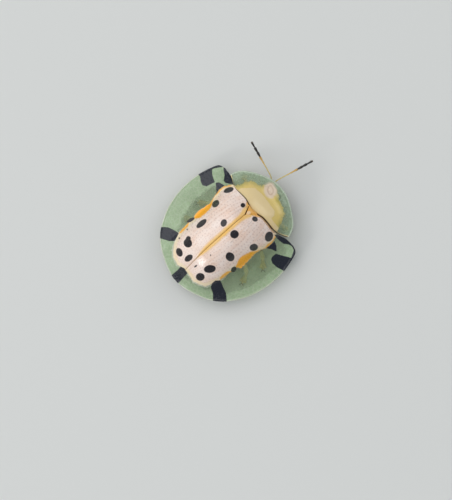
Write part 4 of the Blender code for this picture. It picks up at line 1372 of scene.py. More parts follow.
@dataclass
class WingCover:
    """One wing cover: a thin, stiff shell that is half of the dome and its brim.

    Its UV map "rows" is laid out in millimetres, grid_size across and along, for the rows of pits.
    """

    side: Side
    markings: Markings
    across: int = 96
    along: int = 176
    seam_gap: float = 0.004
    seam_bend: float = 0.12
    base_gap: float = 0.03
    notch_y: float = 2.42
    notch_half_width: float = 0.64
    notch_front_y: float = 3.46
    apex_width: float = 0.24
    brim_thickness: float = 0.1
    disc_thickness: float = 0.22
    base_depth: float = 0.5
    bead_height: float = 0.035
    bead_width: float = 0.07
    seam_groove: float = 0.03
    seam_ridge: float = 0.02
    grid_size: Flat = (6.5, 10.5)
    edging_y: tuple[float, ...] = (-3.9, -3.5, -2.9, -2.5, -2.1, -1.6, -1.0, -0.3, 0.5, 1.0, 1.5, 2.2, 3.3, 3.7)
    edging_width: tuple[float, ...] = (-0.2, 0.2, 0.3, 0.26, 0.06, 0.1, 0.5, 0.6, 0.4, 0.16, 0.05, 0.18, 0.17, -0.1)

    def seam_x(self, y: Array | float) -> Array:
        """Where the seam runs, measured outwards: it bows to the beetle's left between the shield and the tip."""
        bow = np.interp(y, (TIP_Y, -5.5, -3.0, self.notch_y), (0.0, 0.35, 0.9, 1.0))
        return self.seam_gap - self.side.value * self.seam_bend * bow

    def plan(self) -> Array:
        """Lays a grid over the wing cover from above, for the right side.

        Returns:
            Points by place along, place across, and axis, between the base, the seam, the rim and the tip.
        """
        u, v = np.linspace(0, 1, self.across + 1), np.linspace(0, 1, self.along + 1)
        base = [(x, y - self.base_gap) for x, y in FORM.base_line[1:]]
        notch = (self.notch_half_width, self.notch_front_y)
        root = (float(self.seam_x(self.notch_y)), self.notch_y)
        front = np.concatenate([smooth_line([root, notch], 8), smooth_line([notch, *base], 10)[1:]])
        tip_y = FORM.brim_line[-1][1]
        rim = smooth_line([base[-1], *FORM.brim_line], 12)
        rim = rim[rim[:, 0] > self.apex_width]
        low = spaced(front, u)
        high = spaced(np.array([(self.seam_gap, tip_y), rim[-1]]), u)
        seam = spaced(np.array([low[0], high[0]]), v)
        seam[:, 0] = self.seam_x(seam[:, 1])
        edge = spaced(rim, v)
        edge[0], edge[-1] = low[-1], high[-1]
        u, v = u[None, :, None], v[:, None, None]
        flat = (1 - v) * low[None] + v * high[None] + (1 - u) * seam[:, None] + u * edge[:, None]
        corners = (1 - u) * (1 - v) * low[0] + u * (1 - v) * low[-1] + (1 - u) * v * high[0] + u * v * high[-1]
        return flat - corners

    def thickness(self, rim: Array, disc: Array, v: Array) -> Array:
        """How thick the shell is: thin at the brim, thicker on the disc, and deep where it meets the shield.

        Args:
            rim: Distance to the rim.
            disc: Signed distance to the disc's edge.
            v: Place along, from the base.

        Returns:
            The thickness at each point.
        """
        wall = self.brim_thickness + (self.disc_thickness - self.brim_thickness) * smoothstep(0.2, -0.6, disc)
        wall = wall + 0.05 * smoothstep(0.16, 0.03, rim)
        return np.maximum(wall, self.base_depth * smoothstep(0.05, 0.0, v) * smoothstep(0.4, -0.4, disc))

    def normals(self, plan: Array, step: float = 0.02) -> Array:
        """Which way the upper face looks, from its height a short step to each side.

        Args:
            plan: The grid from above, for the right side.
            step: Half the span that each slope is measured over.

        Returns:
            A direction of length 1 for each point of this side's grid.
        """
        x, y = plan[..., 0], plan[..., 1]
        slope_x = (FORM.cover_height(x + step, y) - FORM.cover_height(x - step, y)) / (2 * step)
        slope_y = (FORM.cover_height(x, y + step) - FORM.cover_height(x, y - step)) / (2 * step)
        normal = np.stack([-slope_x * self.side.value, -slope_y, np.ones_like(x)], axis=-1)
        return normal / np.linalg.norm(normal, axis=-1, keepdims=True)

    def skin(self) -> Skin:
        """Builds the closed shell with its markings.

        Returns:
            The skin.
        """
        plan = self.plan()
        rows, columns = plan.shape[:2]
        v = np.repeat(np.linspace(0, 1, rows)[:, None], columns, axis=1)
        u = np.repeat(np.linspace(0, 1, columns)[None], rows, axis=0)
        places = plan.reshape(-1, 2)
        rim_line = smooth_line([FORM.base_line[-1], *FORM.brim_line], 12)
        rim = polygon_distance(places, rim_line.tolist(), closed=False).reshape(rows, columns)
        height = FORM.cover_height(plan[..., 0], plan[..., 1])
        height = height + self.bead_height * bell(rim - 0.05, self.bead_width)
        off_seam = plan[..., 0] - self.seam_x(plan[..., 1])
        height = height - self.seam_groove * bell(off_seam, 0.05) + self.seam_ridge * bell(off_seam - 0.17, 0.07)
        top = np.concatenate([plan, height[..., None]], axis=-1)
        top[..., 0] *= self.side.value
        normal = self.normals(plan)
        marked = top[..., :2].reshape(-1, 2)
        disc = polygon_distance(marked, self.markings.disc).reshape(rows, columns)
        wall = self.thickness(rim, disc, v)[..., None]
        bottom = top - normal * wall

        loop = [(0, c) for c in range(columns)] + [(r, columns - 1) for r in range(1, rows)]
        loop += [(rows - 1, c) for c in range(columns - 2, -1, -1)] + [(r, 0) for r in range(rows - 2, 0, -1)]
        at = tuple(np.array(loop).T)
        ahead = np.roll(top[at], -1, axis=0) - np.roll(top[at], 1, axis=0)
        out = np.cross(ahead, normal[at])
        out /= np.maximum(np.linalg.norm(out, axis=1, keepdims=True), 1e-9)
        middle = top.reshape(-1, 3).mean(axis=0)
        out *= np.sign(((top[at] - middle) * out).sum(axis=1).mean())
        beads = []
        for turn in EDGE_TURNS:
            push = np.minimum(wall[at], self.brim_thickness) * 0.5 * math.sin(math.pi * turn)
            beads.append(top[at] - normal[at] * wall[at] * turn + out * np.where(u[at][:, None] < 0.5, 0.2, 1.0) * push)
        points = np.concatenate([top.reshape(-1, 3), bottom.reshape(-1, 3), *beads])
        size = rows * columns
        index = np.arange(size).reshape(rows, columns)
        quads = np.stack([index[:-1, :-1], index[:-1, 1:], index[1:, 1:], index[1:, :-1]], axis=-1).reshape(-1, 4)
        faces = [tuple(quad) for quad in quads.tolist()] + [tuple(quad) for quad in (quads[:, ::-1] + size).tolist()]
        slots = [0] * len(quads) + [1] * len(quads)
        rings = [index[at], *(np.arange(len(loop)) + 2 * size + k * len(loop) for k in range(3)), index[at] + size]
        for first, second in zip(rings, rings[1:]):
            ahead_first, ahead_second = np.roll(first, -1), np.roll(second, -1)
            faces += list(zip(first.tolist(), ahead_first.tolist(), ahead_second.tolist(), second.tolist()))
            slots += [0] * len(loop)
        shares = np.stack([u * self.grid_size[0], v * self.grid_size[1]], axis=-1).reshape(-1, 2)
        uv = np.concatenate([shares, shares, *[shares[index[at]]] * 3])
        skin = Skin(points, faces, slots=slots, uv=uv)
        rims = rim.reshape(-1)
        skin.marks = self.marks(points, np.concatenate([rims, rims, *[rims[index[at]]] * 3]))
        return skin

    def marks(self, points: Array, rim: Array) -> dict[str, Array]:
        """Works out every marking's distance at every point.

        Args:
            points: The shell's points.
            rim: Their distances to the rim.

        Returns:
            The attributes by name.
        """
        places = points[:, :2]
        found = {
            Mark.SPOT.value: np.min([spot.distance(places) for spot in self.markings.spots], axis=0),
            Mark.BAND.value: np.min([polygon_distance(places, band) for band in self.markings.bands], axis=0),
            Mark.DISC.value: polygon_distance(places, self.markings.disc),
            Mark.STREAK.value: polygon_distance(places, self.markings.streak), Mark.RIM.value: rim - 0.04,
            Mark.MILK.value: rim - self.markings.milk_width,
        }
        # An orange line of changing width follows the disc's edge
        disc, x, y = found[Mark.DISC.value], np.abs(places[:, 0]), places[:, 1]
        width = np.interp(y, self.edging_y, self.edging_width)
        found[Mark.EDGING.value] = np.maximum(-width - disc, disc - 0.02)

        # Amber runs beside the seam, widens to the plate at its front, and follows the base
        off_seam = self.side.value * places[:, 0] - self.seam_x(y)
        width = 0.38 * smoothstep(-4.8, -2.2, y) + 0.3 * smoothstep(1.7, 3.1, y) - 0.08
        found[Mark.AMBER.value] = off_seam - width
        found[Mark.SEAM.value] = off_seam - 0.02
        # A share for the painted highlights on the disc's edge: weak in front, strong towards the rear
        found[Mark.HEM.value] = 0.1 + 0.65 * smoothstep(-2.6, -3.8, y)
        line = smooth_line([(-0.3, FORM.base_line[0][1]), *FORM.base_line], 10)
        base = polygon_distance(np.stack([x, y], axis=1), line.tolist(), closed=False)
        fade = 0.3 * smoothstep(0.9, 1.3, x) if self.side is Side.LEFT else 0.5 * smoothstep(3.0, 3.4, x)
        found[Mark.BASE.value] = base + fade - 0.05 - 0.22 * smoothstep(1.1, 0.6, x)
        return found

    def build(self, cuticle: Material, lining: Material) -> None:
        """Makes the piece with the upper and the lower face's materials, and hands it over."""
        made = self.skin().piece(f"elytron_{self.side.word}", [cuticle, lining])
        deliver(made, Slot.WING_COVER, f"wing_cover_{self.side.word}")


@dataclass
class Shield:
    """The shield over the head: one plate from side to side, thin and clear at the front."""

    rings: int = 64
    thickness: float = 0.12
    base_depth: float = 0.3
    base_gap: float = 0.03
    yaw: float = 1.5
    pane: Outline = field(default_factory=lambda: [
        (-3.3, 3.2), (-3.1, 3.82), (-2.76, 4.3), (-2.68, 4.78), (-2.38, 5.27), (-1.72, 5.56), (-1.3, 5.75),
        (-1.05, 6.35), (-0.87, 6.6), (-0.26, 6.66), (0.45, 6.37), (0.96, 6.05), (1.66, 5.86), (2.33, 5.54),
        (2.71, 4.93), (2.88, 4.44), (3.12, 4.0), (3.1, 3.4), (2.9, 3.0), (-2.9, 3.0),
    ])
    # Where the pane is painted palest: over the fore body below it, and as a painted highlight on the dome
    plateau: Outline = field(default_factory=lambda: [
        (-2.6, 2.9), (-2.45, 4.0), (-2.17, 4.35), (-1.58, 5.04), (-0.7, 5.18), (0.37, 5.09), (1.52, 4.92),
        (1.79, 4.6), (1.79, 4.23), (2.3, 4.12), (3.12, 4.1), (3.2, 2.9),
    ])
    window: Outline = field(default_factory=lambda: [
        (-0.9, 5.6), (-1.24, 6.1), (-1.12, 6.62), (-0.73, 6.87), (-0.03, 6.71), (0.38, 6.3), (0.45, 5.7),
        (0.2, 5.35), (-0.25, 5.28), (-0.65, 5.42),
    ])

    def outline(self) -> tuple[Array, int]:
        """The shield's edge from above, before it is turned.

        Returns:
            Points once round, and how many of them lie on each half of the hind edge.
        """
        base = [(x, y + self.base_gap) for x, y in FORM.base_line[:6]]
        front = [(x, y + (self.base_gap if i == 0 else 0)) for i, (x, y) in enumerate(FORM.shield_line)]
        hind = spaced(smooth_line([*base, front[0]], 10), np.linspace(0, 1, 61))
        fore = spaced(smooth_line(front, 10), np.linspace(0, 1, 91))[1:]
        right = np.concatenate([hind, fore])
        return np.concatenate([right, right[-2:0:-1] * [-1, 1]]), len(hind)

    def skin(self) -> Skin:
        """Builds the closed plate.

        Returns:
            The skin, with its markings.
        """
        rim, hind_count = self.outline()
        centre = np.array([0.0, FORM.shield_centre_y])
        shares = np.linspace(0, 1, self.rings + 1)[1:]
        plan = centre + (rim - centre)[None] * shares[:, None, None]
        hind_line = np.concatenate([rim[:hind_count][::-1], rim[-hind_count + 1 :][::-1]])
        fore_line = rim[hind_count - 1 : len(rim) - hind_count + 2]
        flat = plan.reshape(-1, 2)
        hind = polygon_distance(flat, hind_line.tolist(), closed=False)
        fore = polygon_distance(flat, fore_line.tolist(), closed=False)
        height = FORM.shield_height(flat[:, 0], flat[:, 1])
        height += 0.03 * bell(fore - 0.05, 0.07) - 0.1 * smoothstep(0.2, 0.0, hind)
        wall = self.thickness + (self.base_depth - self.thickness) * smoothstep(0.5, 0.05, hind)
        top = np.concatenate([flat, height[:, None]], axis=1).reshape(plan.shape[0], -1, 3)
        under = top - np.array([0, 0, 1.0]) * wall.reshape(top.shape[:2])[..., None]
        out = np.roll(rim, -1, axis=0) - np.roll(rim, 1, axis=0)
        out = np.stack([out[:, 1], -out[:, 0]], axis=1)
        out /= np.linalg.norm(out, axis=1, keepdims=True)
        out *= np.sign(((rim - centre) * out).sum(axis=1, keepdims=True))
        push = self.thickness / 2 * np.where(hind.reshape(top.shape[:2])[-1] < 0.02, 0.2, 1.0)
        beads = []
        for turn in EDGE_TURNS:
            bead = top[-1] * (1 - turn) + under[-1] * turn
            bead[:, :2] += out * (push * math.sin(math.pi * turn))[:, None]
            beads.append(bead)
        skin = Skin.loft(np.concatenate([top, np.array(beads), under[::-1]]))
        places = skin.points[:, :2]
        skin.marks = {
            "pane": polygon_distance(places, self.pane), "plateau": polygon_distance(places, self.plateau),
            "window": polygon_distance(places, self.window),
            "hind": polygon_distance(places, hind_line.tolist(), closed=False),
            "rim": polygon_distance(places, fore_line.tolist(), closed=False) - 0.05,
        }
        edge = skin.marks["rim"] + 0.05
        veil = 0.34 + 0.22 * smoothstep(0.9, 0.3, edge) + 0.1 * smoothstep(0.3, 0.0, edge)
        skin.marks["veil"] = np.maximum(veil, 0.7 * smoothstep(0.1, -0.25, skin.marks["window"]))
        skin.marks["ring"] = np.abs(skin.marks["window"] + 0.42) - 0.04
        pivot = Matrix.Translation((0, FORM.shield_base_y, 0))
        return skin.turned(pivot @ Matrix.Rotation(math.radians(self.yaw), 4, "Z") @ pivot.inverted())

    def build(self, cuticle: Material) -> None:
        """Makes the piece with its material and hands it over."""
        deliver(self.skin().piece("pronotum", [cuticle]), Slot.SHIELD, "shield")


@dataclass
class Scutellum:
    """The small plate wedged between the roots of the wing covers."""

    half_width: float = 0.6
    front_y: float = 3.45
    tip_y: float = 2.48
    sink: float = 0.02
    depth: float = 0.7
    crown: float = 0.05
    pale_x: float = -0.02
    pale_y: float = 2.86

    def build(self, cuticle: Material) -> None:
        """Makes the piece and hands it over.

        Args:
            cuticle: Its material.
        """
        corners = [(-self.half_width, self.front_y), (0, self.front_y - 0.06), (self.half_width, self.front_y)]
        corners += [(self.half_width * 0.45, (self.front_y + self.tip_y) / 2 - 0.05), (0.0, self.tip_y)]
        corners += [(-self.half_width * 0.45, (self.front_y + self.tip_y) / 2 - 0.05), corners[0]]
        outline = spaced(smooth_line(corners, 8), np.linspace(0, 1, 49))[:-1]
        middle = outline.mean(axis=0)
        profile = ((0.1, 0.0), (0.3, 0.0), (0.5, 0.0), (0.7, 0.01), (0.88, 0.02), (0.97, 0.04), (1.0, 0.08))
        rings = []
        for share, drop in (*profile, (1.0, self.depth), (0.3, self.depth)):
            flat = middle + (outline - middle) * share
            top = FORM.cover_height(flat[:, 0], flat[:, 1]) - self.sink + self.crown * (1 - share**2)
            rings.append(np.concatenate([flat, (top - drop)[:, None]], axis=1))
        skin = Skin.loft(np.array(rings))
        out = np.hypot((skin.points[:, 0] - self.pale_x) / 0.2, (skin.points[:, 1] - self.pale_y) / 0.24)
        skin.marks["tinge"] = smoothstep(1.2, 0.7, out)
        deliver(skin.piece("scutellum_plate", [cuticle]), Slot.BODY_PLATE, "scutellum")


@dataclass
class Trunk:
    """The body under the shell: fore body, middle body and hind body, with the plates of the underside."""

    belly_z: float = 1.25
    waist_z: float = 1.68
    half_width: float = 2.9
    back_narrowing: float = 0.83
    back_clearance: float = 0.8
    blunt: float = 0.8
    waist_y: float = 0.6
    tail_y: float = -5.3
    front_reach: float = 5.2
    taper: float = 2.3
    abdomen_front_y: float = 0.1
    abdomen_rear_y: float = -5.15
    thorax_front_y: float = 3.2
    fore_rear_y: float = 3.22
    fore_front_y: float = 4.9
    fore_half_width: float = 2.6
    plates: int = 5
    plate_step: float = 0.075
    sides: int = 72

    def section(self, y: float, half_width: float, top: float) -> Array:
        """One section across the body: a flat belly up to the waist, and a narrower back over it.

        Args:
            y: Its place along the body.
            half_width: Half its width at the waist.
            top: The back's height.

        Returns:
            The section's points.
        """
        turn = np.linspace(0, 2 * np.pi, self.sides, endpoint=False)
        across, up = [np.copysign(np.abs(f) ** self.blunt, f) for f in (np.cos(turn), np.sin(turn))]
        back = up > 1e-9
        x = half_width * across * np.where(back, self.back_narrowing, 1.0)
        z = self.waist_z + up * np.where(back, top - self.waist_z, self.waist_z - self.belly_z)
        return np.stack([x, np.full_like(x, y), z], axis=1)

    def rings(self, stations: Array, half_widths: Array, tops: Array) -> Array:
        """Sections at several places along the body, each as section makes it."""
        return np.array([self.section(*sizes) for sizes in zip(stations, half_widths, tops)])

    def width_at(self, y: Array) -> Array:
        """Half the trunk's width along the body.

        Args:
            y: Places along the body.

        Returns:
            The half widths.
        """
        reach = np.where(y < self.waist_y, self.waist_y - self.tail_y, self.front_reach)
        along = np.clip(np.abs(y - self.waist_y) / reach, 0, 1)
        return self.half_width * np.maximum(1 - along**self.taper, 0.004) ** (1 / self.taper)

    def top_at(self, y: Array) -> Array:
        """Height of the trunk's back along the body, clear of the shell's inner face."""
        return FORM.cover_height(np.zeros_like(y), y) - self.back_clearance

    def abdomen(self) -> Skin:
        """The hind body with five belly plates, each of which laps over the next with a bowed hind edge.

        Returns:
            The skin, with its hair's share.
        """
        length = self.abdomen_front_y - self.abdomen_rear_y
        stations = np.linspace(self.abdomen_front_y, self.abdomen_rear_y, 150)
        rings = self.rings(stations, self.width_at(stations), self.top_at(stations))
        x, y = rings[..., 0], rings[..., 1]
        bow = 0.16 * (x / self.half_width) ** 2 * (y < self.abdomen_front_y - 0.1)
        place = (self.abdomen_front_y - y + bow) / length
        share = place * self.plates % 1.0
        below = smoothstep(self.waist_z, self.waist_z - 0.3, rings[..., 2])
        lap = self.plate_step * (smoothstep(0.05, 0.0, share) + smoothstep(0.93, 1.0, share)) * (place > 0.02)
        rise = 0.62 * np.clip(place, 0, 1) ** 2.2
        swell = 0.03 * np.sin(math.pi * share)
        rings[..., 2] += below * (lap + rise - swell)
        skin = Skin.loft(rings)
        low = smoothstep(self.waist_z, self.waist_z - 0.2, skin.points[:, 2] - 0.5)
        skin.marks["hair"] = low * smoothstep(2.4, 1.0, skin.points[:, 2])
        return skin

    def thorax(self) -> Skin:
        """The middle body, with its keel, cross seam and the rounded seats of four hips.

        Returns:
            The skin, with its hair's share.
        """
        stations = np.linspace(self.abdomen_front_y - 0.02, self.thorax_front_y, 84)
        rings = self.rings(stations, self.width_at(stations), self.top_at(stations))
        x, y = rings[..., 0], rings[..., 1]
        below = smoothstep(self.waist_z, self.waist_z - 0.25, rings[..., 2])
        groove = 0.05 * bell(x, 0.07) * smoothstep(0.3, 0.6, y)
        groove = groove + 0.06 * bell(y - 1.72 + 0.18 * np.abs(x), 0.06)
        groove = groove + 0.05 * bell(np.abs(x) - 2.05 + 0.1 * y, 0.07)
        seats = sum(np.exp(-(((np.abs(x) - hx) ** 2 + (y - hy) ** 2) / 0.16)) for hx, hy in ((1.1, 2.15), (1.15, 0.6)))
        ends = smoothstep(0.12, 0.0, y - stations[0]) + smoothstep(-0.12, 0.0, y - stations[-1])
        rings[..., 2] += below * (groove - 0.07 * seats + 0.07 * ends)
        skin = Skin.loft(rings)
        skin.marks["hair"] = smoothstep(1.7, 1.4, skin.points[:, 2])
        return skin

    def fore_body(self) -> Skin:
        """The fore body, with the keel that runs back between the front hips.

        Returns:
            The skin, with its hair's share.
        """
        stations = np.linspace(self.fore_rear_y, self.fore_front_y, 60)
        share = (stations - self.fore_rear_y) / (self.fore_front_y - self.fore_rear_y)
        widths = self.fore_half_width * (1 - 0.32 * share**2) * (1 - 0.25 * smoothstep(0.9, 1.0, share))
        tops = FORM.shield_height(np.zeros_like(stations), stations) - self.back_clearance
        rings = self.rings(stations, widths, tops)
        x, y = rings[..., 0], rings[..., 1]
        below = smoothstep(self.waist_z, self.waist_z - 0.25, rings[..., 2])
        along = (y - self.fore_rear_y) / (self.fore_front_y - self.fore_rear_y)
        keel = 0.16 * bell(x, 0.3 - 0.12 * along) - 0.05 * bell(x, 0.06)
        seats = 0.08 * np.exp(-(((np.abs(x) - 0.85) ** 2 + (y - 4.2) ** 2) / 0.14))
        rings[..., 2] += below * (0.1 + 0.25 * along**2 - keel - seats)
        skin = Skin.loft(rings)
        skin.marks["hair"] = smoothstep(1.7, 1.4, skin.points[:, 2])
        return skin

    def build(self, cuticle: Material, hairs: HairCoat) -> None:
        """Makes the three bodies with their hair, and hands them over.

        Args:
            cuticle: Their material.
            hairs: The tool that scatters hair.
        """
        parts = {
            "ventrites": (self.abdomen(), "abdomen"), "mesosternum": (self.thorax(), "thorax"),
            "prosternum": (self.fore_body(), "prothorax"),
        }
        for seed, (name, (skin, node)) in enumerate(parts.items()):
            sizes = {"Per Square Metre": 1.2e7, "Length": 0.16 * MM, "Radius": 0.007 * MM, "Seed": seed}
            deliver(hairs.made(f"{name}_hair", skin, sizes), Slot.BODY_PLATE)
            deliver(skin.piece(name, [cuticle]), Slot.BODY_PLATE, node)


@dataclass
class Head:
    """The head under the shield, turned to the beetle's left, with its eyes, feelers' sockets and mouthparts."""

    centre: Point = (-0.3, 5.84, 1.3)
    yaw: float = 31.0
    half_width: float = 0.92
    half_length: float = 0.62
    half_height: float = 0.66
    eye_spread: float = 0.86
    eye_radii: Point = (0.38, 0.34, 0.46)
    socket_spread: float = 0.27

    @property
    def place(self) -> Matrix:
        """Turns the head's own axes, right, ahead and up, to the beetle's."""
        return Matrix.Translation(self.centre) @ Matrix.Rotation(math.radians(self.yaw), 4, "Z")

    def capsule(self) -> Skin:
        """The skull: round behind, flattened over the face, narrower at the mouth, with a groove down the brow.

        Returns:
            The skin, in the head's own axes.
        """

        def shape(ball: Array) -> Array:
            """Flattens and grooves the unit ball.

            Args:
                ball: Its points.

            Returns:
                The shaped points.
            """
            x, y, z = ball[..., 0], ball[..., 1], ball[..., 2]
            face = np.where(y > 0, y * (0.82 + 0.1 * np.abs(x)), y)
            groove = 0.05 * bell(x, 0.06) * smoothstep(0.2, 0.7, y) * smoothstep(-0.2, 0.3, z)
            vee = 0.06 * bell(z - 0.05 - 0.9 * np.abs(x), 0.05) * smoothstep(0.3, 0.7, y)
            narrow = 1 - 0.3 * smoothstep(0.1, -1.0, z)
            return np.stack([x * narrow, face - groove - vee, z], axis=-1)

        radii = (self.half_width, self.half_length, self.half_height)
        return Skin.egg((0, 0, 0), radii, sides=72, rings=48, shape=shape)

    def mouth(self) -> list[Skin]:
        """The lip plates, the two jaws, and the four short mouth feelers with their joints.

        Returns:
            Their skins, in the head's own axes.
        """
        parts = [Skin.egg((0, 0.43, -0.18), (0.3, 0.14, 0.22)), Skin.egg((0, 0.47, -0.42), (0.26, 0.1, 0.12))]
        for way in (-1, 1):
            jaw = smooth_line([(0.3 * way, 0.36, -0.42), (0.28 * way, 0.5, -0.56), (0.04 * way, 0.52, -0.62)], 6)
            taper = np.linspace(0.1, 0.02, len(jaw))
            parts.append(Skin.tube(jaw, taper, taper * 0.8, 12).coloured(1))
            for x, y, z, scale in ((0.36, 0.34, -0.5, 1.0), (0.14, 0.3, -0.58, 0.6)):
                start = np.array((x * way, y, z))
                for length, thick in ((0.1, 0.055), (0.14, 0.07), (0.13, 0.06)):
                    end = start + np.array((0.55 * way, 0.7, -0.1)) * length * scale
                    shares = np.linspace(0, 1, 9)
                    swell = thick * scale * np.sin(math.pi * (0.12 + 0.76 * shares)) ** 0.5
                    path = start + (end - start) * shares[:, None]
                    parts.append(Skin.tube(path, swell, swell, 12))
                    start = end
        return parts

    def sockets(self) -> list[Skin]:
        """The raised rings that the feelers turn in.

        Returns:
            Their skins, in the head's own axes.
        """
        turn = np.linspace(0, 2 * np.pi, 28, endpoint=False)
        profile = ((0.02, 0.0), (0.075, 0.02), (0.085, 0.05), (0.115, 0.055), (0.14, 0.03), (0.15, -0.05))
        found = []
        for way in (-1, 1):
            middle = np.array((way * self.socket_spread, 0.5, 0.18))
            rings = [
                middle + np.stack([r * np.cos(turn), np.full_like(turn, out), r * np.sin(turn)], axis=1)
                for r, out in profile
            ]
            found.append(Skin.loft(np.array(rings)))
        return found

    def eye(self, way: int) -> Skin:
        """One compound eye, kidney-shaped behind the feeler's socket.

        Args:
            way: 1 for the right eye, -1 for the left.

        Returns:
            The skin.
        """

        def shape(ball: Array) -> Array:
            """Notches the unit ball in front.

            Args:
                ball: Its points.

            Returns:
                The shaped points.
            """
            x, y, z = ball[..., 0], ball[..., 1], ball[..., 2]
            notch = 0.16 * bell(z, 0.35) * smoothstep(0.3, 1.0, y)
            return np.stack([x, y - notch, z * (1 - 0.08 * y)], axis=-1)

        return Skin.egg((way * self.eye_spread, -0.02, 0.12), self.eye_radii, sides=48, rings=32, shape=shape)

    def build(self, cuticle: Material, jaw: Material, cornea: Material, hairs: HairCoat) -> None:
        """Makes the head and its eyes, and hands them over.

        Args:
            cuticle: The skull's material.
            jaw: The jaws' darker material.
            cornea: The eyes' material.
            hairs: The tool that scatters hair.
        """
        skull = self.capsule()
        x, y = skull.points[:, 0], skull.points[:, 1]
        ring = bell(np.hypot(x, y + 0.05) - 0.42, 0.07) * (skull.points[:, 2] > 0)
        skull.marks["tinge"] = 0.7 * ring + 0.5 * bell(x, 0.06) * smoothstep(-0.3, 0.1, y)
        skull.marks["hair"] = smoothstep(0.1, 0.4, skull.points[:, 1]) * smoothstep(0.5, 0.0, skull.points[:, 2])
        parts = Skin.joined([skull, *self.mouth(), *self.sockets()]).turned(self.place)
        sizes = {"Per Square Metre": 2.2e7, "Length": 0.12 * MM, "Radius": 0.005 * MM, "Seed": 11}
        deliver(hairs.made("head_hair", parts, sizes), Slot.BODY_PLATE)
        deliver(parts.piece("head_capsule", [cuticle, jaw]), Slot.BODY_PLATE, "head")
        for side in Side:
            eye = self.eye(side.value).turned(self.place)
            deliver(eye.piece(f"compound_eye_{side.word}", [cornea]), Slot.EYE, f"eye_{side.word}")


@dataclass
class Feeler:
    """A feeler of eleven joints: a stout root joint, slim middle ones, and a club of three."""

    side: Side
    head: Head
    bend: Flat
    middle: Flat
    tip: Flat
    root_z: float = 1.5
    rim_z: float = 1.35
    tip_z: float = 2.3
    lengths: tuple[float, ...] = (0.52, 0.28, 0.42, 0.42, 0.4, 0.4, 0.46, 0.5, 0.5, 0.5, 0.62)
    radii: tuple[float, ...] = (0.1, 0.07, 0.062, 0.062, 0.062, 0.066, 0.08, 0.11, 0.13, 0.135, 0.11)

    def path(self) -> Array:
        """The feeler's middle line, from its socket to its tip.

        Returns:
            Its points.
        """
        way = self.side.value
        socket = self.head.place @ Vector((way * self.head.socket_spread, 0.5, 0.18))
        root = self.head.place @ Vector((way * 0.3, 0.9, 0))
        knots = [
            tuple(socket), (root.x, root.y, self.root_z), (*self.bend, self.rim_z),
            (*self.middle, (self.rim_z + self.tip_z) / 2), (*self.tip, self.tip_z),
        ]
        return smooth_line(knots, 24)

    def build(self, cuticle: Material, joints: JointRow, hairs: HairCoat) -> None:
        """Makes the joints along the path and their hair, and hands them over.

        Args:
            cuticle: The joints' material.
            joints: The tool that sets the joints.
            hairs: The tool that scatters hair.
        """
        ends = np.concatenate([[0.0], np.cumsum(self.lengths)])
        knots = spaced(self.path(), ends / ends[-1])
        ahead = np.diff(knots, axis=0)
        size = np.linalg.norm(ahead, axis=1)
        row = Skin(knots[:-1], [])
        row.marks = {
            "length": size * 1.04, "radius": np.array(self.radii), "ahead_x": ahead[:, 0] / size,
            "ahead_y": ahead[:, 1] / size, "ahead_z": ahead[:, 2] / size,
        }
        made = joints.made(f"flagellum_{self.side.word}", row, {"Sides": 18, "Rings": 14, "Neck": 0.5})
        points = np.empty(len(made.data.vertices) * 3)
        made.data.vertices.foreach_get("co", points)
        points = points.reshape(-1, 3) / MM - np.array([0.0, FRAME_Y, 0.0])
        steps = (points[:, None] - knots[None, :-1]) * ahead[None] / (size**2)[None, :, None]
        along = np.clip(steps.sum(axis=-1), 0, 1)
        gap = np.linalg.norm(points[:, None] - knots[None, :-1] - along[..., None] * ahead[None], axis=-1)
        nearest = gap.argmin(axis=1)
        along = along[np.arange(len(points)), nearest]
        share = (ends[nearest] + along * np.array(self.lengths)[nearest]) / ends[-1]
        aside = points - (knots[:-1][nearest] + along[:, None] * ahead[nearest])
        across = np.cross(ahead[nearest], [0.0, 0.0, 1.0])
        turn = np.arctan2(aside[:, 2], (aside * across).sum(axis=1)) / (2 * math.pi) + 0.5
        layer = made.data.attributes.new("along", "FLOAT", "POINT")
        layer.data.foreach_set("value", share.astype(np.float32))
        made.data.materials.clear()
        made.data.materials.append(cuticle)
        coat = Skin(points, [tuple(face.vertices) for face in made.data.polygons])
        coat.marks = {"hair": smoothstep(0.1, 0.7, share), "wrap_u": share, "wrap_v": turn}
        sizes = {"Per Square Metre": 9e7, "Length": 0.075 * MM, "Radius": 0.004 * MM, "Lean Down": 0.0, "Seed": 21}
        deliver(hairs.made(f"flagellum_{self.side.word}_hair", coat, sizes), Slot.FEELER)
        deliver(made, Slot.FEELER, f"antenna_{self.side.word}")


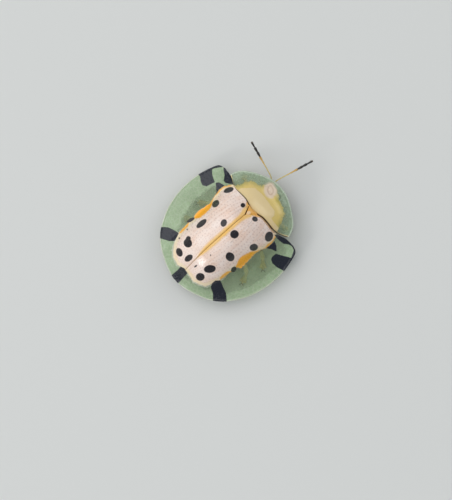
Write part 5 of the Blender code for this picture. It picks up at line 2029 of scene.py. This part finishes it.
@dataclass
class Leg:
    """One leg: hip, ring joint, thigh, shin, a foot of flat lobes with hairy soles, and two claws."""

    name: str
    hip: Flat
    knee: Flat
    ankle: Flat
    toe: Flat
    hip_z: float = 0.72
    knee_z: float = 1.2
    ankle_z: float = 0.34
    thigh_widths: tuple[float, ...] = (0.19, 0.27, 0.33, 0.34, 0.3, 0.2)
    shin_widths: tuple[float, ...] = (0.12, 0.15, 0.17, 0.19, 0.22, 0.26)
    lobe_widths: tuple[float, ...] = (0.2, 0.25)

    def limb(self) -> list[Skin]:
        """Hip, ring joint, thigh, knee and shin.

        Returns:
            Their skins, in that order.
        """
        hip, knee = np.array((*self.hip, self.hip_z)), np.array((*self.knee, self.knee_z))
        ankle = np.array((*self.ankle, self.ankle_z))
        out = (knee - hip) / np.linalg.norm(knee - hip)
        parts = [Skin.egg((self.hip[0], self.hip[1], 0.86), (0.38, 0.34, 0.44), 28, 18)]
        ring = hip + out * 0.28
        parts.append(Skin.egg(tuple(ring), (0.24, 0.22, 0.22), 24, 14))
        shares = np.linspace(0, 1, 26)
        bow = np.sin(math.pi * shares)[:, None] * np.array([0, 0, 0.1])
        thigh = ring + (knee - ring) * shares[:, None] + bow
        widths = np.interp(shares, np.linspace(0, 1, len(self.thigh_widths)), self.thigh_widths)
        closing = np.sqrt(np.clip(1 - ((shares - 0.5) / 0.5) ** 8, 0.05, 1))
        parts.append(Skin.tube(thigh, widths * closing, widths * closing * 0.8, 24))
        parts.append(Skin.egg(tuple(knee), (0.15, 0.15, 0.13), 20, 12))
        reach = ankle - knee
        shin = knee + reach * shares[:, None] + np.sin(math.pi * shares)[:, None] * np.array([0, 0, 0.05])
        widths = np.interp(shares, np.linspace(0, 1, len(self.shin_widths)), self.shin_widths)
        parts.append(Skin.tube(shin, widths * closing, widths * closing * 0.72, 24, blunt=0.85))
        return parts

    def foot(self) -> list[Skin]:
        """The flat foot lobes, the last of which is split in two, and the slim claw joint that rises from it.

        Returns:
            Their skins, after the ankle's.
        """
        ankle, toe = np.array((*self.ankle, 0.0)), np.array((*self.toe, 0.0))
        ahead = toe - ankle
        length = np.linalg.norm(ahead)
        ahead /= length
        across = np.array([ahead[1], -ahead[0], 0.0])
        shares = np.linspace(0, 1, 14)
        dome = np.sqrt(np.clip(1 - ((shares - 0.55) / 0.56) ** 4, 0.03, 1))
        parts = [Skin.egg((self.ankle[0], self.ankle[1], 0.26), (0.15, 0.15, 0.15), 20, 12)]
        for lobe, width in enumerate(self.lobe_widths):
            start = ankle + ahead * length * (0.3 * lobe - 0.05) + np.array([0, 0, 0.15])
            path = start + ahead * (shares * length * 0.42)[:, None]
            widths = width * (0.55 + 0.45 * shares) * dome
            parts.append(Skin.tube(path, widths, 0.14 * dome, 20))
        for way in (-1, 1):
            start = ankle + ahead * length * 0.52 + across * way * 0.07 + np.array([0, 0, 0.14])
            path = start + (ahead + across * way * 0.3) * (shares * length * 0.55)[:, None]
            parts.append(Skin.tube(path, 0.17 * dome, 0.13 * dome, 20))
        start = ankle + ahead * length * 0.6 + np.array([0, 0, 0.2])
        rise = np.array([0, 0, 0.1])
        path = start + ahead * (shares * length * 0.62)[:, None] + rise * np.sin(math.pi * shares * 0.6)[:, None]
        parts.append(Skin.tube(path, 0.06 + 0.05 * shares * dome, 0.06 + 0.04 * shares * dome, 16))
        return parts

    def claws(self) -> Skin:
        """The pair of hooked claws, each with a tooth at its root.

        Returns:
            One skin that holds both.
        """
        toe = np.array((*self.toe, 0.0))
        ahead = toe - np.array((*self.ankle, 0.0))
        ahead /= np.linalg.norm(ahead)
        across = np.array([ahead[1], -ahead[0], 0.0])
        root = toe + ahead * 0.12
        parts = []
        for way in (-1, 1):
            aim = ahead * 0.3 + across * way * 0.18
            hook = [root, root + aim * 0.5, root + aim, root + aim * 1.25]
            line = smooth_line([(p[0], p[1], z) for p, z in zip(hook, (0.27, 0.3, 0.2, 0.05))], 8)
            parts.append(Skin.tube(line, np.linspace(0.055, 0.01, len(line)), np.linspace(0.06, 0.01, len(line)), 12))
            tooth = smooth_line([root + aim * 0.2 + [0, 0, 0.26], root + aim * 0.45 + [0, 0, 0.12]], 6)
            taper = np.linspace(0.05, 0.012, len(tooth))
            parts.append(Skin.tube(tooth, taper, taper, 10))
        return Skin.joined(parts)

    def build(self, cuticle: Material, horn: Material, hairs: HairCoat) -> None:
        """Makes the leg, its claws and its hair, and hands them over.

        Args:
            cuticle: The leg's material.
            horn: The claws' material.
            hairs: The tool that scatters hair.
        """
        limb, foot = self.limb(), self.foot()
        for part in limb[:3]:
            part.marked(hair=0.12)
        for part in limb[3:]:
            part.marked(hair=0.55)
        for part in foot:
            part.marks["hair"] = smoothstep(0.16, 0.06, part.points[:, 2]) + 0.3
        leg = Skin.joined([*limb, *foot])
        leg.points[:, 2] = np.maximum(leg.points[:, 2], 0.012)
        seed = sum(map(ord, self.name))
        sizes = {"Per Square Metre": 6e7, "Length": 0.13 * MM, "Radius": 0.006 * MM, "Lean Down": 0.25, "Seed": seed}
        coat = hairs.made(f"hair_{self.name}", leg, sizes)
        for vertex in coat.data.vertices:
            vertex.co.z = max(vertex.co.z, 0.0)
        deliver(coat, Slot.BODY_PLATE)
        deliver(leg.piece(f"limb_{self.name}", [cuticle]), Slot.BODY_PLATE, f"leg_{self.name}")
        deliver(self.claws().piece(f"claws_{self.name}", [horn]), Slot.BODY_PLATE)


@dataclass
class Studio:
    """Pale paper, soft lights and the camera of the picture."""

    aim: Flat = (1.09, -1.21)
    aim_z: float = 2.0
    tilt: float = 3.5
    distance: float = 200.0
    across: Flat = (0.6594, 0.7518)
    picture_span: float = 50.0
    film: float = 36.0
    paper_span: float = 1.6

    def camera(self) -> None:
        """Sets the camera over the beetle's back, nearly straight above."""
        back = Vector((math.tan(math.radians(self.tilt)), 0.0, 1.0)).normalized()
        right = Vector((*self.across, 0.0))
        right = (right - back * right.dot(back)).normalized()
        up = back.cross(right)
        data = bpy.data.cameras.new("camera")
        data.sensor_width = self.film
        data.lens = self.film * self.distance / self.picture_span
        data.clip_start, data.clip_end = 0.01, 20.0
        obj = linked("camera", data)
        turn = Matrix((right, up, back)).transposed().to_4x4()
        aim = Vector((self.aim[0], self.aim[1] + FRAME_Y, self.aim_z)) * MM
        obj.matrix_world = Matrix.Translation(aim + back * (self.distance * MM)) @ turn
        bpy.context.scene.camera = obj

    def softbox(self, name: str, towards: Point, span: float, power: float, far: float) -> None:
        """Adds a square soft light that looks at the beetle.

        Args:
            name: The light's name.
            towards: The direction to it, in the beetle's frame.
            span: Its side in metres.
            power: Its power in watts.
            far: Its distance in metres.
        """
        data = bpy.data.lights.new(name, "AREA")
        data.shape, data.size, data.energy = "SQUARE", span, power
        way = Vector(towards).normalized()
        place = Matrix.Translation(way * far) @ way.to_track_quat("Z", "Y").to_matrix().to_4x4()
        linked(name, data).matrix_world = place

    def build(self, paper: Material) -> None:
        """Makes the floor, the lights, the fill and the camera.

        Args:
            paper: The floor's material.
        """
        half = self.paper_span / 2
        mesh = bpy.data.meshes.new("paper_floor")
        mesh.from_pydata([(-half, -half, 0), (half, -half, 0), (half, half, 0), (-half, half, 0)], [], [(0, 1, 2, 3)])
        mesh.materials.append(paper)
        linked("paper_floor", mesh)
        self.softbox("key", (-0.62, -0.3, 1.0), 0.8, 2.6, 0.6)
        self.softbox("back", (0.1, -1.9, 1.0), 0.13, 0.6, 0.6)
        self.softbox("front", (0.1, 1.7, 1.0), 0.3, 0.35, 0.6)
        world = bpy.data.worlds.new("studio air")
        world.use_nodes = True
        shade = world.node_tree.nodes["Background"]
        shade.inputs["Color"].default_value = linear("#E6EDF7")
        shade.inputs["Strength"].default_value = 0.5
        bpy.context.scene.world = world
        bpy.context.scene.view_settings.view_transform = "Standard"
        self.camera()


LEG_PLACES: dict[str, tuple[Flat, ...]] = {
    "front_left": ((-0.8, 4.2), (-2.15, 4.62), (-2.85, 4.88), (-3.42, 5.02)),
    "front_right": ((0.8, 4.2), (2.2, 4.5), (2.95, 4.68), (3.55, 4.78)),
    "middle_left": ((-1.1, 2.15), (-3.0, 1.2), (-3.8, 0.55), (-4.35, -0.1)),
    "middle_right": ((1.1, 2.15), (3.15, 1.55), (4.1, 1.0), (4.78, 0.42)),
    "hind_left": ((-1.15, 0.6), (-2.85, -0.85), (-3.6, -1.55), (-4.15, -2.25)),
    "hind_right": ((1.15, 0.6), (3.1, -0.5), (4.1, -1.2), (4.5, -2.02)),
}


def main() -> None:
    """Builds the beetle piece by piece, then the studio."""
    logging.basicConfig(level=logging.INFO, format="%(name)s: %(message)s")
    body = Cuticle().material()
    horn = Cuticle("claw chitin, brown", light="#6E3F16", dark="#3A200C", pit="#2A160A", gloss=0.22).material()
    face = Cuticle("beetle cuticle, pale face", "#F3DCC6", "#DDB894", "#B98C5C", "#A87844", pit_depth=0.3).material()
    plate = Cuticle("beetle cuticle, amber plate", "#EDB250", "#DE9A36", "#B87C2C", "#F0CC9C", pit_depth=0.2).material()
    limb = Cuticle("beetle cuticle, pale legs", "#F4DFAC", "#DDB872", "#A8803C", "#A87A34", pit_depth=0.3).material()
    cornea = EyeCornea().material()
    feeler = FeelerCuticle().material()
    hairs = HairCoat(Bristle().material())
    joints = JointRow(feeler)

    shell, lining = WingCoverCuticle().material(), WingLining().material()
    WingCover(Side.LEFT, LEFT_MARKINGS).build(shell, lining)
    WingCover(Side.RIGHT, RIGHT_MARKINGS).build(shell, lining)
    Shield().build(ShieldCuticle().material())
    Scutellum().build(plate)
    Trunk().build(body, hairs)
    head = Head()
    head.build(face, horn, cornea, hairs)
    Feeler(Side.RIGHT, head, (-0.86, 7.05), (-0.38, 9.1), (0.11, 11.15)).build(feeler, joints, hairs)
    Feeler(Side.LEFT, head, (-1.4, 6.99), (-3.34, 7.43), (-5.34, 7.83)).build(feeler, joints, hairs)
    for name, (hip, knee, ankle, toe) in LEG_PLACES.items():
        Leg(name, hip, knee, ankle, toe).build(limb, horn, hairs)
    Studio().build(StudioPaper().material())


if __name__ == "__main__":
    main()
